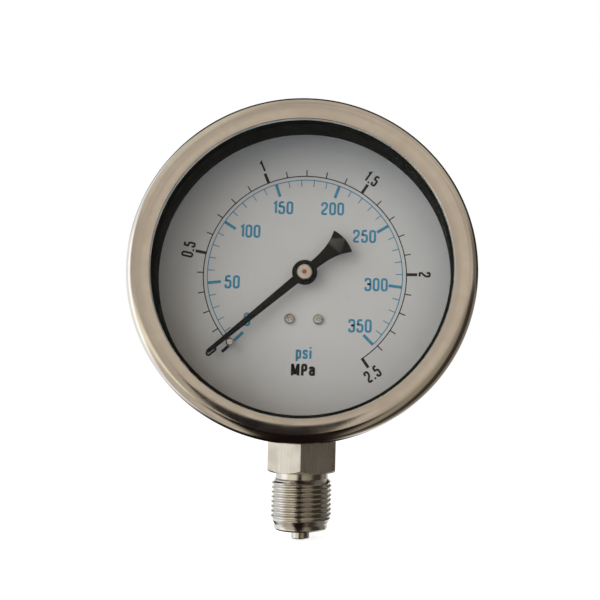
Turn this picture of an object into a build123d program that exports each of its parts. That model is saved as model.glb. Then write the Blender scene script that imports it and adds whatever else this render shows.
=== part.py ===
"""Dial pressure gauge with a Bourdon tube, nominal case size 100 mm, bottom connection M20 x 1.5.

Millimetres. The origin is on the stem's axis, at its sealing face. +Z runs up the stem, the dial faces -Y
and +X is to the right of somebody who reads the dial. Places on the dial and in the movement are given as
(x, z) from the pointer's axis, and their angles run anticlockwise from +X as the reader sees them.
"""
from build123d import *
from math import acos, ceil, cos, degrees, pi, radians, sin, tan
import os

os.makedirs("parts", exist_ok=True)

# ---------------------------------------------------------------- driving dimensions
dial_z = 82.0                       # pointer axis above the sealing face
fit_gap = 0.05                      # radial running clearance of shafts and hinge pins
seat_gap = 0.02                     # clearance of pieces that are pressed, brazed or screwed together
free_gap = 0.3                      # clearance between pieces that only pass each other

case_radius = 50.0
case_wall = 1.0
case_back = 15.5
case_corner = 4.0
rim_front, rim_thickness, rim_radius = -25.2, 1.0, 51.5
plug_y, plug_hole_radius, plug_head_radius, plug_head_height = 0.0, 4.0, 6.5, 1.8
plug_crown, plug_sink, plug_stem_depth = 0.9, 1.0, 3.5
plug_barb_reach, plug_barb_height, plug_barb_taper = 0.9, 1.6, -12

bezel_radius, bezel_wall = 53.4, 1.0
bezel_front, bezel_back = -32.8, -21.5
bezel_shoulder = 3.5
lip_radius, lip_front, lip_bulge = 45.7, -31.0, 0.45
bayonet_count, bayonet_lug_angle, bayonet_gap_angle, bayonet_travel = 3, 20.0, 26.0, 25.0
bayonet_thickness = 1.2

window_radius, window_thickness, window_front = 49.3, 3.0, -29.7
gasket_bore, gasket_skirt_wall = 47.1, 1.4
window_bevel = 0.3

dial_front, dial_thickness, dial_radius, dial_hole_radius = -15.0, 1.0, 48.4, 2.4
dial_screw_places = [(-4.6, -14.6), (4.6, -14.6)]
dial_screw_head_radius, dial_screw_head_height, dial_screw_crown = 1.75, 1.3, 0.78
dial_screw_shank_radius, dial_post_radius, dial_post_floor = 0.8, 1.6, 0.5
screw_end_gap = 0.2
stop_pin_at_radius, stop_pin_clock_angle = 32.2, -134.8
stop_pin_radius, stop_pin_height, stop_pin_crown, stop_pin_shank_radius = 1.3, 4.4, 1.1, 0.8

pointer_clock_angle = -131.0        # at rest, clockwise from straight up
pointer_front, pointer_thickness = -18.9, 0.8
pointer_length, pointer_root_width, pointer_tip_width = 39.6, 2.7, 1.2
pointer_disc_radius = 4.0
tail_length, tail_width, tail_neck_width, tail_neck_length = 16.8, 9.1, 2.9, 5.0
tail_corner_setback, tail_neck_slope, tail_flare = 0.9, 0.05, 0.6
hub_front, hub_radius, hub_flange_radius, hub_back = -20.0, 2.45, 3.2, -16.8
hub_neck_radius, hub_bevel, hub_dimple = 1.8, 0.25, 0.4
shaft_tip_radius = 0.6

plate_thickness = 1.5
front_plate_front, back_plate_back = -11.5, 0.0
pillar_places = [(4.0, 9.0), (-7.0, -21.0), (17.0, -10.0)]
pillar_radius, pillar_screw_radius, pillar_rivet_radius = 1.75, 0.9, 1.0
pillar_screw_length, pillar_hole_depth = 3.0, 3.2
bearing_boss_radius, pillar_boss_radius, foot_boss_radius = 5.0, 3.2, 3.4
spring_boss_place = (8.5, 0.0)
movement_screw_places = [(-5.0, -27.5), (5.0, -27.5)]
movement_screw_radius, movement_screw_end, movement_hole_end = 1.25, 5.0, 5.3
slot_width = 0.4
plate_head_radius, plate_head_height = 1.8, 1.1
movement_head_radius, movement_head_height = 2.3, 1.6

gear_module, pressure_angle = 0.3, 20.0
pinion_teeth, sector_virtual_teeth = 16, 144
gear_distance = gear_module * (pinion_teeth + sector_virtual_teeth) / 2
backlash = 0.05                     # taken off the width of each tooth
pointer_travel = 277.0
sector_direction = -58.0            # from the pinion to the sector's pivot
sector_front, sector_thickness = -7.0, 1.2
pinion_front, pinion_back = -8.2, -4.6
journal_radius, arbor_radius, pinion_arbor_radius = 0.75, 1.5, 1.2
end_float = 0.2                     # of each arbor between the plates
sector_rim_inner, sector_hub_outer, sector_hub_radius = 17.6, 6.5, 3.2
rim_web_angle, hub_web_angle = 6.0, 14.0
tail_arm_root_radius, tail_arm_end_radius = 2.4, 1.7
tail_arm_length, tail_arm_angle = 4.56, -42.3
link_front, link_thickness, link_half_width = -5.5, 1.0, 1.9
tip_pivot = (26.75, -5.9)
link_pin_radius, link_open_hole_radius = 0.7, 1.0
pin_overlap, pin_head_radius, pin_head_height = 0.3, 1.4, 0.5
link_side_gap, pin_side_gap = 0.2, 0.4
link_head_radius, link_head_height = 1.5, 0.9

tube_bend_radius, tube_centre_y = 38.0, 4.0
tube_width, tube_thickness, tube_wall = 11.0, 3.5, 0.5
tube_fixed_angle, tube_free_angle = 257.0, -20.0
tube_seat_angle = 20.0
tip_sleeve_angle, tip_end_angle, tip_margin = 4.0, -27.5, 0.8
lug_front, lug_thickness = -4.2, 1.5
lug_eye_radius, lug_root_radius, lug_root_inset, lug_root_angle = 2.3, 2.0, 1.0, 3.0
tip_corner_radius = 1.0

spring_start_radius, spring_step, spring_half_turns = 2.1, 0.55, 8
spring_thickness, spring_front, spring_width = 0.15, -3.6, 1.2
collet_radius, collet_front, collet_back = 1.95, -4.3, -2.1
stud_length, stud_width, stud_overlap = 1.8, 2.0, 0.3

hex_across_flats, hex_bottom, hex_top = 22.0, 18.3, 30.0
neck_radius, thread_radius, thread_pitch, thread_crests = 8.75, 10.0, 1.5, 9
first_crest = 3.2
lead_in_bevel, undercut_step, runout_height = 0.5, 0.3, 0.6
hex_bevel_inset, hex_bevel_angle = 0.2, 30.0
nipple_radius, nipple_length, nipple_bevel = 3.0, 3.0, 0.3
pressure_bore_radius, pressure_bore_top, cross_bore_radius, cross_bore_y = 1.5, 46.5, 1.0, 0.5
restrictor_length, restrictor_orifice_radius, restrictor_slot_width, restrictor_slot_depth = 4.0, 0.3, 0.5, 0.6
shoulder_radius, case_hole_radius, shoulder_height = 10.6, 10.9, 8.0
block_left, block_right, block_front, block_bottom, block_top = -15.0, 12.0, -6.0, 33.0, 50.0
tongue_half_width, tongue_top, tongue_thickness, tongue_overlap = 9.0, 59.0, 6.0, 1.0
case_screw_places = [(-7.0, -42.0), (7.0, -42.0)]
case_screw_radius, case_screw_head_radius, case_screw_head_height, case_screw_crown = 2.0, 3.5, 2.0, 1.2
case_screw_depth = 4.2
key_depth, key_across = 1.2, 2.5
washer_radius, washer_thickness = 4.2, 0.6
seal_wall, seal_height = 0.9, 6.0

# ---------------------------------------------------------------- frame of the dial
dial_axis = Axis((0, 0, dial_z), (0, 1, 0))
profile_plane = Plane.XY.offset(dial_z)          # local x is the radius, local y is the depth


def face_plane(y, at=(0.0, 0.0)):
    """A plane that faces the reader: local x is +X, local y is +Z, and extrusion comes forward."""
    return Plane(origin=(at[0], y, dial_z + at[1]), x_dir=(1, 0, 0), z_dir=(0, -1, 0))


def radial_plane(angle):
    """A plane through the pointer's axis: local x runs out at this angle, local y is the depth."""
    a = radians(angle)
    return Plane(origin=(0, 0, dial_z), x_dir=(cos(a), 0, sin(a)), z_dir=(-sin(a), 0, cos(a)))


def polar(radius, angle, centre=(0.0, 0.0)):
    return (centre[0] + radius * cos(radians(angle)), centre[1] + radius * sin(radians(angle)))


def clock(radius, angle):
    """A place on the dial from a clockwise angle measured from straight up."""
    return polar(radius, 90 - angle)


def finish(builder, label):
    builder.part.label = label
    export_step(builder.part, f"parts/{label}.step")


def ring(y_front, y_back, r_in, r_out, at=(0.0, 0.0)):
    """A tube or washer, square to the dial, added to the part that is being built."""
    with BuildSketch(face_plane(y_back, at)) as section:
        Circle(r_out)
        if r_in > 0:
            Circle(r_in, mode=Mode.SUBTRACT)
    extrude(section.sketch, amount=y_back - y_front)


def drill(y_front, y_back, radius, places):
    """Round holes square to the dial, cut from the part that is being built."""
    with BuildSketch(face_plane(y_back)) as section:
        with Locations(*places):
            Circle(radius)
    extrude(section.sketch, amount=y_back - y_front, mode=Mode.SUBTRACT)


# ---------------------------------------------------------------- gear teeth
def involute(angle):
    return tan(angle) - angle


def tooth_flank(teeth, steps=4):
    """Radii and half-angles, in radians, of one tooth from its root to its tip."""
    pitch_r = gear_module * teeth / 2
    base_r = pitch_r * cos(radians(pressure_angle))
    root_r = pitch_r - 1.3 * gear_module
    tip_r = pitch_r + gear_module
    half_at_pitch = pi / (2 * teeth) - backlash / (2 * pitch_r)
    low_r = max(base_r, root_r)
    flank = [(root_r, half_at_pitch + involute(radians(pressure_angle)) - involute(acos(base_r / low_r)))]
    for step in range(steps + 1):
        r = low_r + (tip_r - low_r) * step / steps
        half = half_at_pitch + involute(radians(pressure_angle)) - involute(acos(min(1, base_r / r)))
        flank.append((r, half))
    return flank


def tooth_points(teeth, centre_angle):
    """One tooth, walked anticlockwise over its tip, about a gear that stands at the plane's origin."""
    flank = tooth_flank(teeth)
    rising = [polar(r, centre_angle - degrees(half)) for r, half in flank]
    falling = [polar(r, centre_angle + degrees(half)) for r, half in reversed(flank)]
    return rising + falling


# ================================================================ case
inner_radius = case_radius - case_wall
rim_back = rim_front + rim_thickness
case_floor = case_back - case_wall
with BuildPart() as case:
    with BuildSketch(profile_plane):
        with BuildLine():
            Polyline(
                (0, case_floor),
                (inner_radius - case_corner + case_wall, case_floor),
            )
            RadiusArc(
                (inner_radius - case_corner + case_wall, case_floor),
                (inner_radius, case_back - case_corner),
                case_corner - case_wall,
            )
            Polyline(
                (inner_radius, case_back - case_corner),
                (inner_radius, rim_front),
                (rim_radius, rim_front),
                (rim_radius, rim_back),
                (case_radius, rim_back),
                (case_radius, case_back - case_corner),
            )
            RadiusArc(
                (case_radius, case_back - case_corner),
                (case_radius - case_corner, case_back),
                -case_corner,
            )
            Polyline((case_radius - case_corner, case_back), (0, case_back), (0, case_floor))
        make_face()
    revolve(axis=dial_axis)
    # gaps in the rim that let the bezel's lugs through
    with BuildSketch(face_plane(rim_back)):
        with PolarLocations(0, bayonet_count, start_angle=90 + bayonet_travel):
            with BuildLine():
                gap_arc = CenterArc((0, 0), rim_radius + 1, -bayonet_gap_angle / 2, bayonet_gap_angle)
                Line((0, 0), gap_arc @ 0)
                Line((0, 0), gap_arc @ 1)
            make_face()
        Circle(case_radius, mode=Mode.SUBTRACT)
    extrude(amount=rim_thickness, mode=Mode.SUBTRACT)
    # holes for the socket's shoulder, the screws in the back and the plug at the top
    with BuildSketch(Plane.XY.offset(hex_top)):
        Circle(case_hole_radius)
    extrude(amount=shoulder_radius, mode=Mode.SUBTRACT)
    drill(case_floor - 1, case_back + 1, case_screw_radius + free_gap, case_screw_places)
    with BuildSketch(Plane.XY.offset(dial_z + inner_radius - 1)):
        with Locations((0, plug_y)):
            Circle(plug_hole_radius)
    extrude(amount=case_wall + 2, mode=Mode.SUBTRACT)
finish(case, "case")

# ================================================================ bezel ring
crest_radius = bezel_radius - bezel_shoulder
skirt_inner = bezel_radius - bezel_wall
lug_radius = bezel_radius - bezel_wall / 2
with BuildPart() as bezel_ring:
    with BuildSketch(profile_plane):
        with BuildLine():
            outer_band = TangentArc(
                (crest_radius, bezel_front), (lip_radius, lip_front), tangent=(-1, 0)
            )
            RadiusArc(
                (crest_radius, bezel_front),
                (bezel_radius, bezel_front + bezel_shoulder),
                -bezel_shoulder,
            )
            Polyline(
                (bezel_radius, bezel_front + bezel_shoulder),
                (bezel_radius, bezel_back),
                (skirt_inner, bezel_back),
                (skirt_inner, bezel_front + bezel_shoulder),
            )
            RadiusArc(
                (skirt_inner, bezel_front + bezel_shoulder),
                (crest_radius, bezel_front + bezel_wall),
                bezel_shoulder - bezel_wall,
            )
            inner_band = TangentArc(
                (crest_radius, bezel_front + bezel_wall),
                (lip_radius, lip_front + bezel_wall),
                tangent=(-1, 0),
            )
            lip_middle = (lip_radius - lip_bulge, lip_front + bezel_wall / 2)
            ThreePointArc(outer_band @ 1, lip_middle, inner_band @ 1)
        make_face()
    revolve(axis=dial_axis)
    with BuildSketch(face_plane(rim_back + free_gap + bayonet_thickness)):
        with PolarLocations(0, bayonet_count, start_angle=90):
            with BuildLine():
                lug_arc = CenterArc((0, 0), lug_radius, -bayonet_lug_angle / 2, bayonet_lug_angle)
                Line((0, 0), lug_arc @ 0)
                Line((0, 0), lug_arc @ 1)
            make_face()
        Circle(case_radius + free_gap, mode=Mode.SUBTRACT)
    extrude(amount=bayonet_thickness)
finish(bezel_ring, "bezel_ring")

# ================================================================ window and its gasket
window_back = window_front + window_thickness
with BuildPart() as window:
    ring(window_front, window_back, 0, window_radius)
    chamfer(window.edges(), length=window_bevel)
finish(window, "window")

with BuildPart() as window_gasket:
    ring(window_back, rim_front, gasket_bore, window_radius)
    ring(window_back, dial_front, gasket_bore, gasket_bore + gasket_skirt_wall)
finish(window_gasket, "window_gasket")

# ================================================================ dial, its posts, screws and stop pin
stop_pin_place = clock(stop_pin_at_radius, stop_pin_clock_angle)
dial_back = dial_front + dial_thickness
with BuildPart() as dial:
    ring(dial_front, dial_back, dial_hole_radius, dial_radius)
    drill(dial_front, dial_back, dial_screw_shank_radius + seat_gap, dial_screw_places)
    drill(dial_front, dial_back, stop_pin_shank_radius, [stop_pin_place])
finish(dial, "dial")

post_hole_back = front_plate_front - dial_post_floor
with BuildPart() as dial_posts:
    for place in dial_screw_places:
        ring(dial_back, front_plate_front, 0, dial_post_radius, place)
    drill(dial_back, post_hole_back, dial_screw_shank_radius + seat_gap, dial_screw_places)
finish(dial_posts, "dial_posts")

with BuildPart() as dial_screws:
    for place in dial_screw_places:
        ring(dial_front - dial_screw_head_height, dial_front, 0, dial_screw_head_radius, place)
    crowns = dial_screws.edges().filter_by(GeomType.CIRCLE).group_by(Axis.Y)[0]
    fillet(crowns, radius=dial_screw_crown)
    for place in dial_screw_places:
        ring(dial_front, post_hole_back - screw_end_gap, 0, dial_screw_shank_radius, place)
finish(dial_screws, "dial_screws")

with BuildPart() as stop_pin:
    ring(dial_front - stop_pin_height, dial_front, 0, stop_pin_radius, stop_pin_place)
    tip = stop_pin.edges().filter_by(GeomType.CIRCLE).group_by(Axis.Y)[0]
    fillet(tip, radius=stop_pin_crown)
    ring(dial_front, dial_back, 0, stop_pin_shank_radius - seat_gap, stop_pin_place)
finish(stop_pin, "stop_pin")

# ================================================================ pointer and hub
pointer_back = pointer_front + pointer_thickness
blade_angle = 90 - pointer_clock_angle
with BuildPart() as pointer:
    blade_direction = (cos(radians(blade_angle)), 0, sin(radians(blade_angle)))
    with BuildSketch(Plane(origin=(0, pointer_back, dial_z), x_dir=blade_direction, z_dir=(0, -1, 0))):
        # the blade runs along local +x and the tail along local -x
        Polygon(
            (0, pointer_root_width / 2),
            (0, -pointer_root_width / 2),
            (pointer_length - pointer_tip_width / 2, -pointer_tip_width / 2),
            (pointer_length - pointer_tip_width / 2, pointer_tip_width / 2),
            align=None,
        )
        with Locations((pointer_length - pointer_tip_width / 2, 0)):
            Circle(pointer_tip_width / 2)
        Circle(pointer_disc_radius)
        with BuildLine():
            neck_end = (-tail_neck_length, tail_neck_width / 2)
            fan_corner = (-tail_length + tail_corner_setback, tail_width / 2)
            upper = Spline(neck_end, fan_corner, tangents=[(-1, tail_neck_slope), (-1, tail_flare)])
            Line((0, tail_neck_width / 2), neck_end)
            lower = Spline(
                (neck_end[0], -neck_end[1]),
                (fan_corner[0], -fan_corner[1]),
                tangents=[(-1, -tail_neck_slope), (-1, -tail_flare)],
            )
            Line((0, -tail_neck_width / 2), (neck_end[0], -neck_end[1]))
            ThreePointArc(upper @ 1, (-tail_length, 0), lower @ 1)
            Line((0, tail_neck_width / 2), (0, -tail_neck_width / 2))
        make_face()
        Circle(hub_neck_radius + seat_gap, mode=Mode.SUBTRACT)
    extrude(amount=pointer_thickness)
finish(pointer, "pointer")

with BuildPart() as pointer_hub:
    ring(hub_front, pointer_front, 0, hub_radius)
    front_edge = pointer_hub.edges().filter_by(GeomType.CIRCLE).group_by(Axis.Y)[0]
    chamfer(front_edge, length=hub_bevel)
    ring(pointer_front, pointer_back, 0, hub_neck_radius)
    ring(pointer_back, hub_back, 0, hub_flange_radius)
    drill(hub_front, hub_back, shaft_tip_radius + seat_gap, [(0, 0)])
finish(pointer_hub, "pointer_hub")

# ================================================================ movement plates
front_plate_back = front_plate_front + plate_thickness
back_plate_front = back_plate_back - plate_thickness
sector_pivot = polar(gear_distance, sector_direction)
journal_hole = journal_radius + fit_gap
with BuildPart() as front_plate:
    with BuildSketch(face_plane(front_plate_back)):
        with Locations((0, 0), sector_pivot):
            Circle(bearing_boss_radius)
        with Locations(*pillar_places):
            Circle(pillar_boss_radius)
        make_hull()
        with Locations((0, 0), sector_pivot):
            Circle(journal_hole, mode=Mode.SUBTRACT)
        with Locations(*pillar_places):
            Circle(pillar_screw_radius + seat_gap, mode=Mode.SUBTRACT)
    extrude(amount=plate_thickness)
finish(front_plate, "front_plate")

with BuildPart() as back_plate:
    with BuildSketch(face_plane(back_plate_back)):
        with Locations((0, 0), sector_pivot):
            Circle(bearing_boss_radius)
        with Locations(spring_boss_place, *pillar_places):
            Circle(pillar_boss_radius)
        with Locations(*movement_screw_places):
            Circle(foot_boss_radius)
        make_hull()
        with Locations((0, 0), sector_pivot):
            Circle(journal_hole, mode=Mode.SUBTRACT)
        with Locations(*pillar_places):
            Circle(pillar_rivet_radius + seat_gap, mode=Mode.SUBTRACT)
        with Locations(*movement_screw_places):
            Circle(movement_screw_radius + seat_gap, mode=Mode.SUBTRACT)
    extrude(amount=plate_thickness)
finish(back_plate, "back_plate")

with BuildPart() as movement_pillars:
    for place in pillar_places:
        ring(front_plate_back, back_plate_front, 0, pillar_radius, place)
        ring(back_plate_front, back_plate_back, 0, pillar_rivet_radius, place)
    pillar_hole_back = front_plate_back + pillar_hole_depth
    drill(front_plate_back, pillar_hole_back, pillar_screw_radius + seat_gap, pillar_places)
finish(movement_pillars, "movement_pillars")


def slotted_screws(y_seat, head_radius, head_height, shank_radius, shank_end, places):
    """Cheese-head screws put in from the front, each with a slot, added to the part being built."""
    for place in places:
        ring(y_seat - head_height, y_seat, 0, head_radius, place)
        ring(y_seat, shank_end, 0, shank_radius, place)
        with BuildSketch(face_plane(y_seat - head_height / 2, place)) as slot:
            Rectangle(2 * head_radius, slot_width)
        extrude(slot.sketch, amount=head_height / 2, mode=Mode.SUBTRACT)


with BuildPart() as plate_screws:
    slotted_screws(
        front_plate_front,
        plate_head_radius,
        plate_head_height,
        pillar_screw_radius,
        front_plate_back + pillar_screw_length,
        pillar_places,
    )
finish(plate_screws, "plate_screws")

with BuildPart() as movement_screws:
    slotted_screws(
        back_plate_front,
        movement_head_radius,
        movement_head_height,
        movement_screw_radius,
        movement_screw_end,
        movement_screw_places,
    )
finish(movement_screws, "movement_screws")

# ================================================================ pinion, hairspring
with BuildPart() as pinion_shaft:
    with BuildSketch(face_plane(pinion_back)):
        outline = []
        for k in range(pinion_teeth):
            outline += tooth_points(pinion_teeth, sector_direction + 360 * k / pinion_teeth)
        Polygon(*outline, align=None)
    extrude(amount=pinion_back - pinion_front)
    ring(front_plate_back + end_float, pinion_front, 0, pinion_arbor_radius)
    ring(pinion_back, back_plate_front - end_float, 0, pinion_arbor_radius)
    ring(back_plate_front - end_float, back_plate_back + end_float, 0, journal_radius)
    ring(hub_back, front_plate_back + end_float, 0, journal_radius)
    ring(hub_front + hub_dimple, hub_back, 0, shaft_tip_radius)
finish(pinion_shaft, "pinion_shaft")

with BuildPart() as hairspring_collet:
    ring(collet_front, collet_back, pinion_arbor_radius + seat_gap, collet_radius)
finish(hairspring_collet, "hairspring_collet")

with BuildPart() as hairspring:
    spring_back = spring_front + spring_width
    with BuildSketch(face_plane(spring_back)):
        with BuildLine():
            ends = []
            for side in (-spring_thickness / 2, spring_thickness / 2):
                for k in range(spring_half_turns):
                    centre = (spring_step * (k % 2), 0)
                    turn_radius = spring_start_radius + spring_step * k + side
                    arc = CenterArc(centre, turn_radius, 180 * (k % 2), 180)
                    if k in (0, spring_half_turns - 1):
                        ends.append(arc @ (0 if k == 0 else 1))
            Line(ends[0], ends[2])
            Line(ends[1], ends[3])
        make_face()
    extrude(amount=spring_width)
finish(hairspring, "hairspring")

spring_outer = spring_start_radius + spring_step * spring_half_turns + spring_thickness / 2
with BuildPart() as hairspring_stud:
    with BuildSketch(face_plane(back_plate_front)):
        with Locations((spring_outer + seat_gap, 0)):
            Rectangle(stud_length, stud_width, align=(Align.MIN, Align.CENTER))
    extrude(amount=back_plate_front - spring_front + stud_overlap)
finish(hairspring_stud, "hairspring_stud")

# ================================================================ sector, its arbor and pin
# at rest the pinion meets the first teeth, and the last ones come to it at full scale
tooth_pitch = 360 / sector_virtual_teeth
swing = pointer_travel * pinion_teeth / sector_virtual_teeth
meeting_angle = sector_direction + 180
spare_teeth = 2
last_tooth = ceil(swing / tooth_pitch) + spare_teeth
sector_back = sector_front + sector_thickness
first_angle = meeting_angle + tooth_pitch * spare_teeth
far_angle = meeting_angle - tooth_pitch * last_tooth
with BuildPart() as sector_gear:
    with BuildSketch(face_plane(sector_back, sector_pivot)):
        outline = [(0, 0)]
        for k in range(last_tooth, -spare_teeth, -1):
            outline += tooth_points(sector_virtual_teeth, meeting_angle - (k - 0.5) * tooth_pitch)
        Polygon(*outline, align=None)
        with BuildLine():
            rim_start, rim_sweep = far_angle + rim_web_angle, first_angle - far_angle - 2 * rim_web_angle
            hub_start, hub_sweep = far_angle + hub_web_angle, first_angle - far_angle - 2 * hub_web_angle
            outer_arc = CenterArc((0, 0), sector_rim_inner, rim_start, rim_sweep)
            inner_arc = CenterArc((0, 0), sector_hub_outer, hub_start, hub_sweep)
            Line(outer_arc @ 0, inner_arc @ 0)
            Line(outer_arc @ 1, inner_arc @ 1)
        make_face(mode=Mode.SUBTRACT)
        Circle(sector_hub_radius)
    tail_end = polar(tail_arm_length, tail_arm_angle)
    with BuildSketch(face_plane(sector_back, sector_pivot)):
        Circle(tail_arm_root_radius)
        with Locations(tail_end):
            Circle(tail_arm_end_radius)
        make_hull()
    extrude(amount=sector_thickness)
    with BuildSketch(face_plane(sector_back, sector_pivot)):
        Circle(arbor_radius + seat_gap)
        with Locations(tail_end):
            Circle(link_pin_radius + seat_gap)
    extrude(amount=sector_thickness, mode=Mode.SUBTRACT)
finish(sector_gear, "sector_gear")

with BuildPart() as sector_arbor:
    ring(front_plate_front - end_float, front_plate_back + end_float, 0, journal_radius, sector_pivot)
    ring(front_plate_back + end_float, back_plate_front - end_float, 0, arbor_radius, sector_pivot)
    ring(back_plate_front - end_float, back_plate_back + end_float, 0, journal_radius, sector_pivot)
finish(sector_arbor, "sector_arbor")

link_back = link_front + link_thickness
tail_pivot = (sector_pivot[0] + tail_end[0], sector_pivot[1] + tail_end[1])
with BuildPart() as sector_pin:
    pin_head_front = link_back + pin_side_gap
    ring(sector_front - pin_overlap, pin_head_front, 0, link_pin_radius, tail_pivot)
    ring(pin_head_front, pin_head_front + pin_head_height, 0, pin_head_radius, tail_pivot)
finish(sector_pin, "sector_pin")

# ================================================================ link, tip and tube
with BuildPart() as link:
    with BuildSketch(face_plane(link_back)):
        with Locations(tail_pivot, tip_pivot):
            Circle(link_half_width)
        make_hull()
        with Locations(tail_pivot):
            Circle(link_open_hole_radius, mode=Mode.SUBTRACT)
        with Locations(tip_pivot):
            Circle(link_pin_radius + fit_gap, mode=Mode.SUBTRACT)
    extrude(amount=link_thickness)
finish(link, "link")

lug_back = lug_front + lug_thickness
with BuildPart() as link_screw:
    link_seat = link_front - link_side_gap
    slotted_screws(link_seat, link_head_radius, link_head_height, link_pin_radius, lug_back, [tip_pivot])
finish(link_screw, "link_screw")


def tube_section(start_angle, grow, hollow=False):
    """The flat-oval section of the tube, on the radial plane at this angle."""
    with BuildSketch(radial_plane(start_angle)) as section:
        with Locations((tube_bend_radius, tube_centre_y)):
            SlotOverall(tube_width + 2 * grow, tube_thickness + 2 * grow, rotation=90)
            if hollow:
                bore_width = tube_width - 2 * tube_wall
                bore_thickness = tube_thickness - 2 * tube_wall
                SlotOverall(bore_width, bore_thickness, rotation=90, mode=Mode.SUBTRACT)
    return section.sketch


anticlockwise = Axis((0, 0, dial_z), (0, -1, 0))
with BuildPart() as bourdon_tube:
    tube_end = tube_section(tube_free_angle, 0, hollow=True)
    revolve(tube_end, axis=anticlockwise, revolution_arc=tube_fixed_angle - tube_free_angle)
finish(bourdon_tube, "bourdon_tube")

cap_front, cap_back = lug_front, tube_centre_y + tube_width / 2 + tip_margin
with BuildPart() as tube_tip:
    with BuildSketch(radial_plane(tip_end_angle)):
        with Locations((tube_bend_radius, (cap_front + cap_back) / 2)):
            RectangleRounded(tube_thickness + 2 * tip_margin, cap_back - cap_front, tip_corner_radius)
    revolve(axis=anticlockwise, revolution_arc=tube_free_angle + tip_sleeve_angle - tip_end_angle)
    with BuildSketch(face_plane(lug_back)):
        with Locations(tip_pivot):
            Circle(lug_eye_radius)
        with Locations(polar(tube_bend_radius - lug_root_inset, tip_end_angle + lug_root_angle)):
            Circle(lug_root_radius)
        make_hull()
    extrude(amount=lug_thickness)
    mouth = tube_section(tube_free_angle, seat_gap)
    revolve(mouth, axis=anticlockwise, revolution_arc=tip_sleeve_angle + 1, mode=Mode.SUBTRACT)
    drill(lug_front, lug_back, link_pin_radius + seat_gap, [tip_pivot])
finish(tube_tip, "tube_tip")

# ================================================================ socket
crest_flat = thread_pitch / 8
thread_root = thread_radius - 0.6134 * thread_pitch
thread_start = first_crest - thread_pitch / 2
thread_end = first_crest + (thread_crests - 0.5) * thread_pitch
hex_corner = hex_across_flats / 2 / cos(radians(30))
with BuildPart() as socket:
    with BuildSketch(Plane.XZ):
        rings = []
        for k in range(thread_crests):
            z = first_crest + k * thread_pitch
            rings += [(thread_radius, z - crest_flat / 2), (thread_radius, z + crest_flat / 2)]
            valley = z + thread_pitch / 2
            rings += [(thread_root, valley - crest_flat), (thread_root, valley + crest_flat)]
        Polygon(
            (0, -nipple_length),
            (nipple_radius - nipple_bevel, -nipple_length),
            (nipple_radius, -nipple_length + nipple_bevel),
            (nipple_radius, 0),
            (neck_radius - lead_in_bevel, 0),
            (neck_radius, lead_in_bevel),
            (neck_radius, thread_start - undercut_step),
            *rings[:-1],
            (neck_radius, thread_end + runout_height),
            (neck_radius, hex_bottom),
            (shoulder_radius, hex_bottom),
            (shoulder_radius, hex_top + shoulder_height),
            (0, hex_top + shoulder_height),
            align=None,
        )
    revolve(axis=Axis.Z)
    with BuildSketch(Plane.XY.offset(hex_bottom)):
        RegularPolygon(hex_corner, 6, rotation=90)
    extrude(amount=hex_top - hex_bottom)
    # the block inside the case, and the tongue that carries the movement
    block_back = case_floor
    with BuildSketch(face_plane(block_back)):
        with Locations(((block_left + block_right) / 2, block_top - dial_z)):
            Rectangle(block_right - block_left, block_top - block_bottom, align=(Align.CENTER, Align.MAX))
        Circle(inner_radius - case_corner, mode=Mode.INTERSECT)
    extrude(amount=block_back - block_front)
    with BuildSketch(face_plane(back_plate_back + tongue_thickness)):
        with Locations((0, tongue_top - dial_z)):
            tongue_height = tongue_top - block_top + tongue_overlap
            Rectangle(2 * tongue_half_width, tongue_height, align=(Align.CENTER, Align.MAX))
    extrude(amount=tongue_thickness)
    # bevel under the hexagon's corners
    with BuildSketch(Plane.XZ):
        bevel_start = hex_across_flats / 2 - hex_bevel_inset
        bevel_end = hex_corner + 1
        Polygon(
            (bevel_start, hex_bottom),
            (bevel_end, hex_bottom),
            (bevel_end, hex_bottom + (bevel_end - bevel_start) * tan(radians(hex_bevel_angle))),
            align=None,
        )
    revolve(axis=Axis.Z, mode=Mode.SUBTRACT)
    # seat of the tube, pressure bores, screw holes
    seat = tube_section(tube_fixed_angle - tube_seat_angle, seat_gap)
    revolve(seat, axis=anticlockwise, revolution_arc=tube_seat_angle, mode=Mode.SUBTRACT)
    with BuildSketch(Plane.XY.offset(-nipple_length)):
        Circle(pressure_bore_radius)
    extrude(amount=pressure_bore_top + nipple_length, mode=Mode.SUBTRACT)
    tube_mouth = polar(tube_bend_radius, tube_fixed_angle)
    with BuildSketch(Plane.YZ):
        with Locations((cross_bore_y, dial_z + tube_mouth[1])):
            Circle(cross_bore_radius)
    extrude(amount=tube_mouth[0], mode=Mode.SUBTRACT)
    screw_hole_front = block_back - case_screw_depth - free_gap
    drill(screw_hole_front, block_back, case_screw_radius + seat_gap, case_screw_places)
    drill(back_plate_back, movement_hole_end, movement_screw_radius + seat_gap, movement_screw_places)
finish(socket, "socket")

with BuildPart() as restrictor_screw:
    with BuildSketch(Plane.XY):
        Circle(pressure_bore_radius - seat_gap)
        Circle(restrictor_orifice_radius, mode=Mode.SUBTRACT)
    extrude(amount=restrictor_length)
    with BuildSketch(Plane.XY):
        Rectangle(2 * pressure_bore_radius, restrictor_slot_width)
    extrude(amount=restrictor_slot_depth, mode=Mode.SUBTRACT)
finish(restrictor_screw, "restrictor_screw")

with BuildPart() as stem_seal:
    with BuildSketch(Plane.XY.offset(hex_top)):
        Circle(shoulder_radius + seal_wall)
        Circle(shoulder_radius + seat_gap, mode=Mode.SUBTRACT)
    extrude(amount=seal_height)
    with BuildSketch(face_plane(seal_height + shoulder_radius)):
        Circle(case_radius)
    extrude(amount=2 * (seal_height + shoulder_radius), mode=Mode.SUBTRACT)
finish(stem_seal, "stem_seal")

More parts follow.
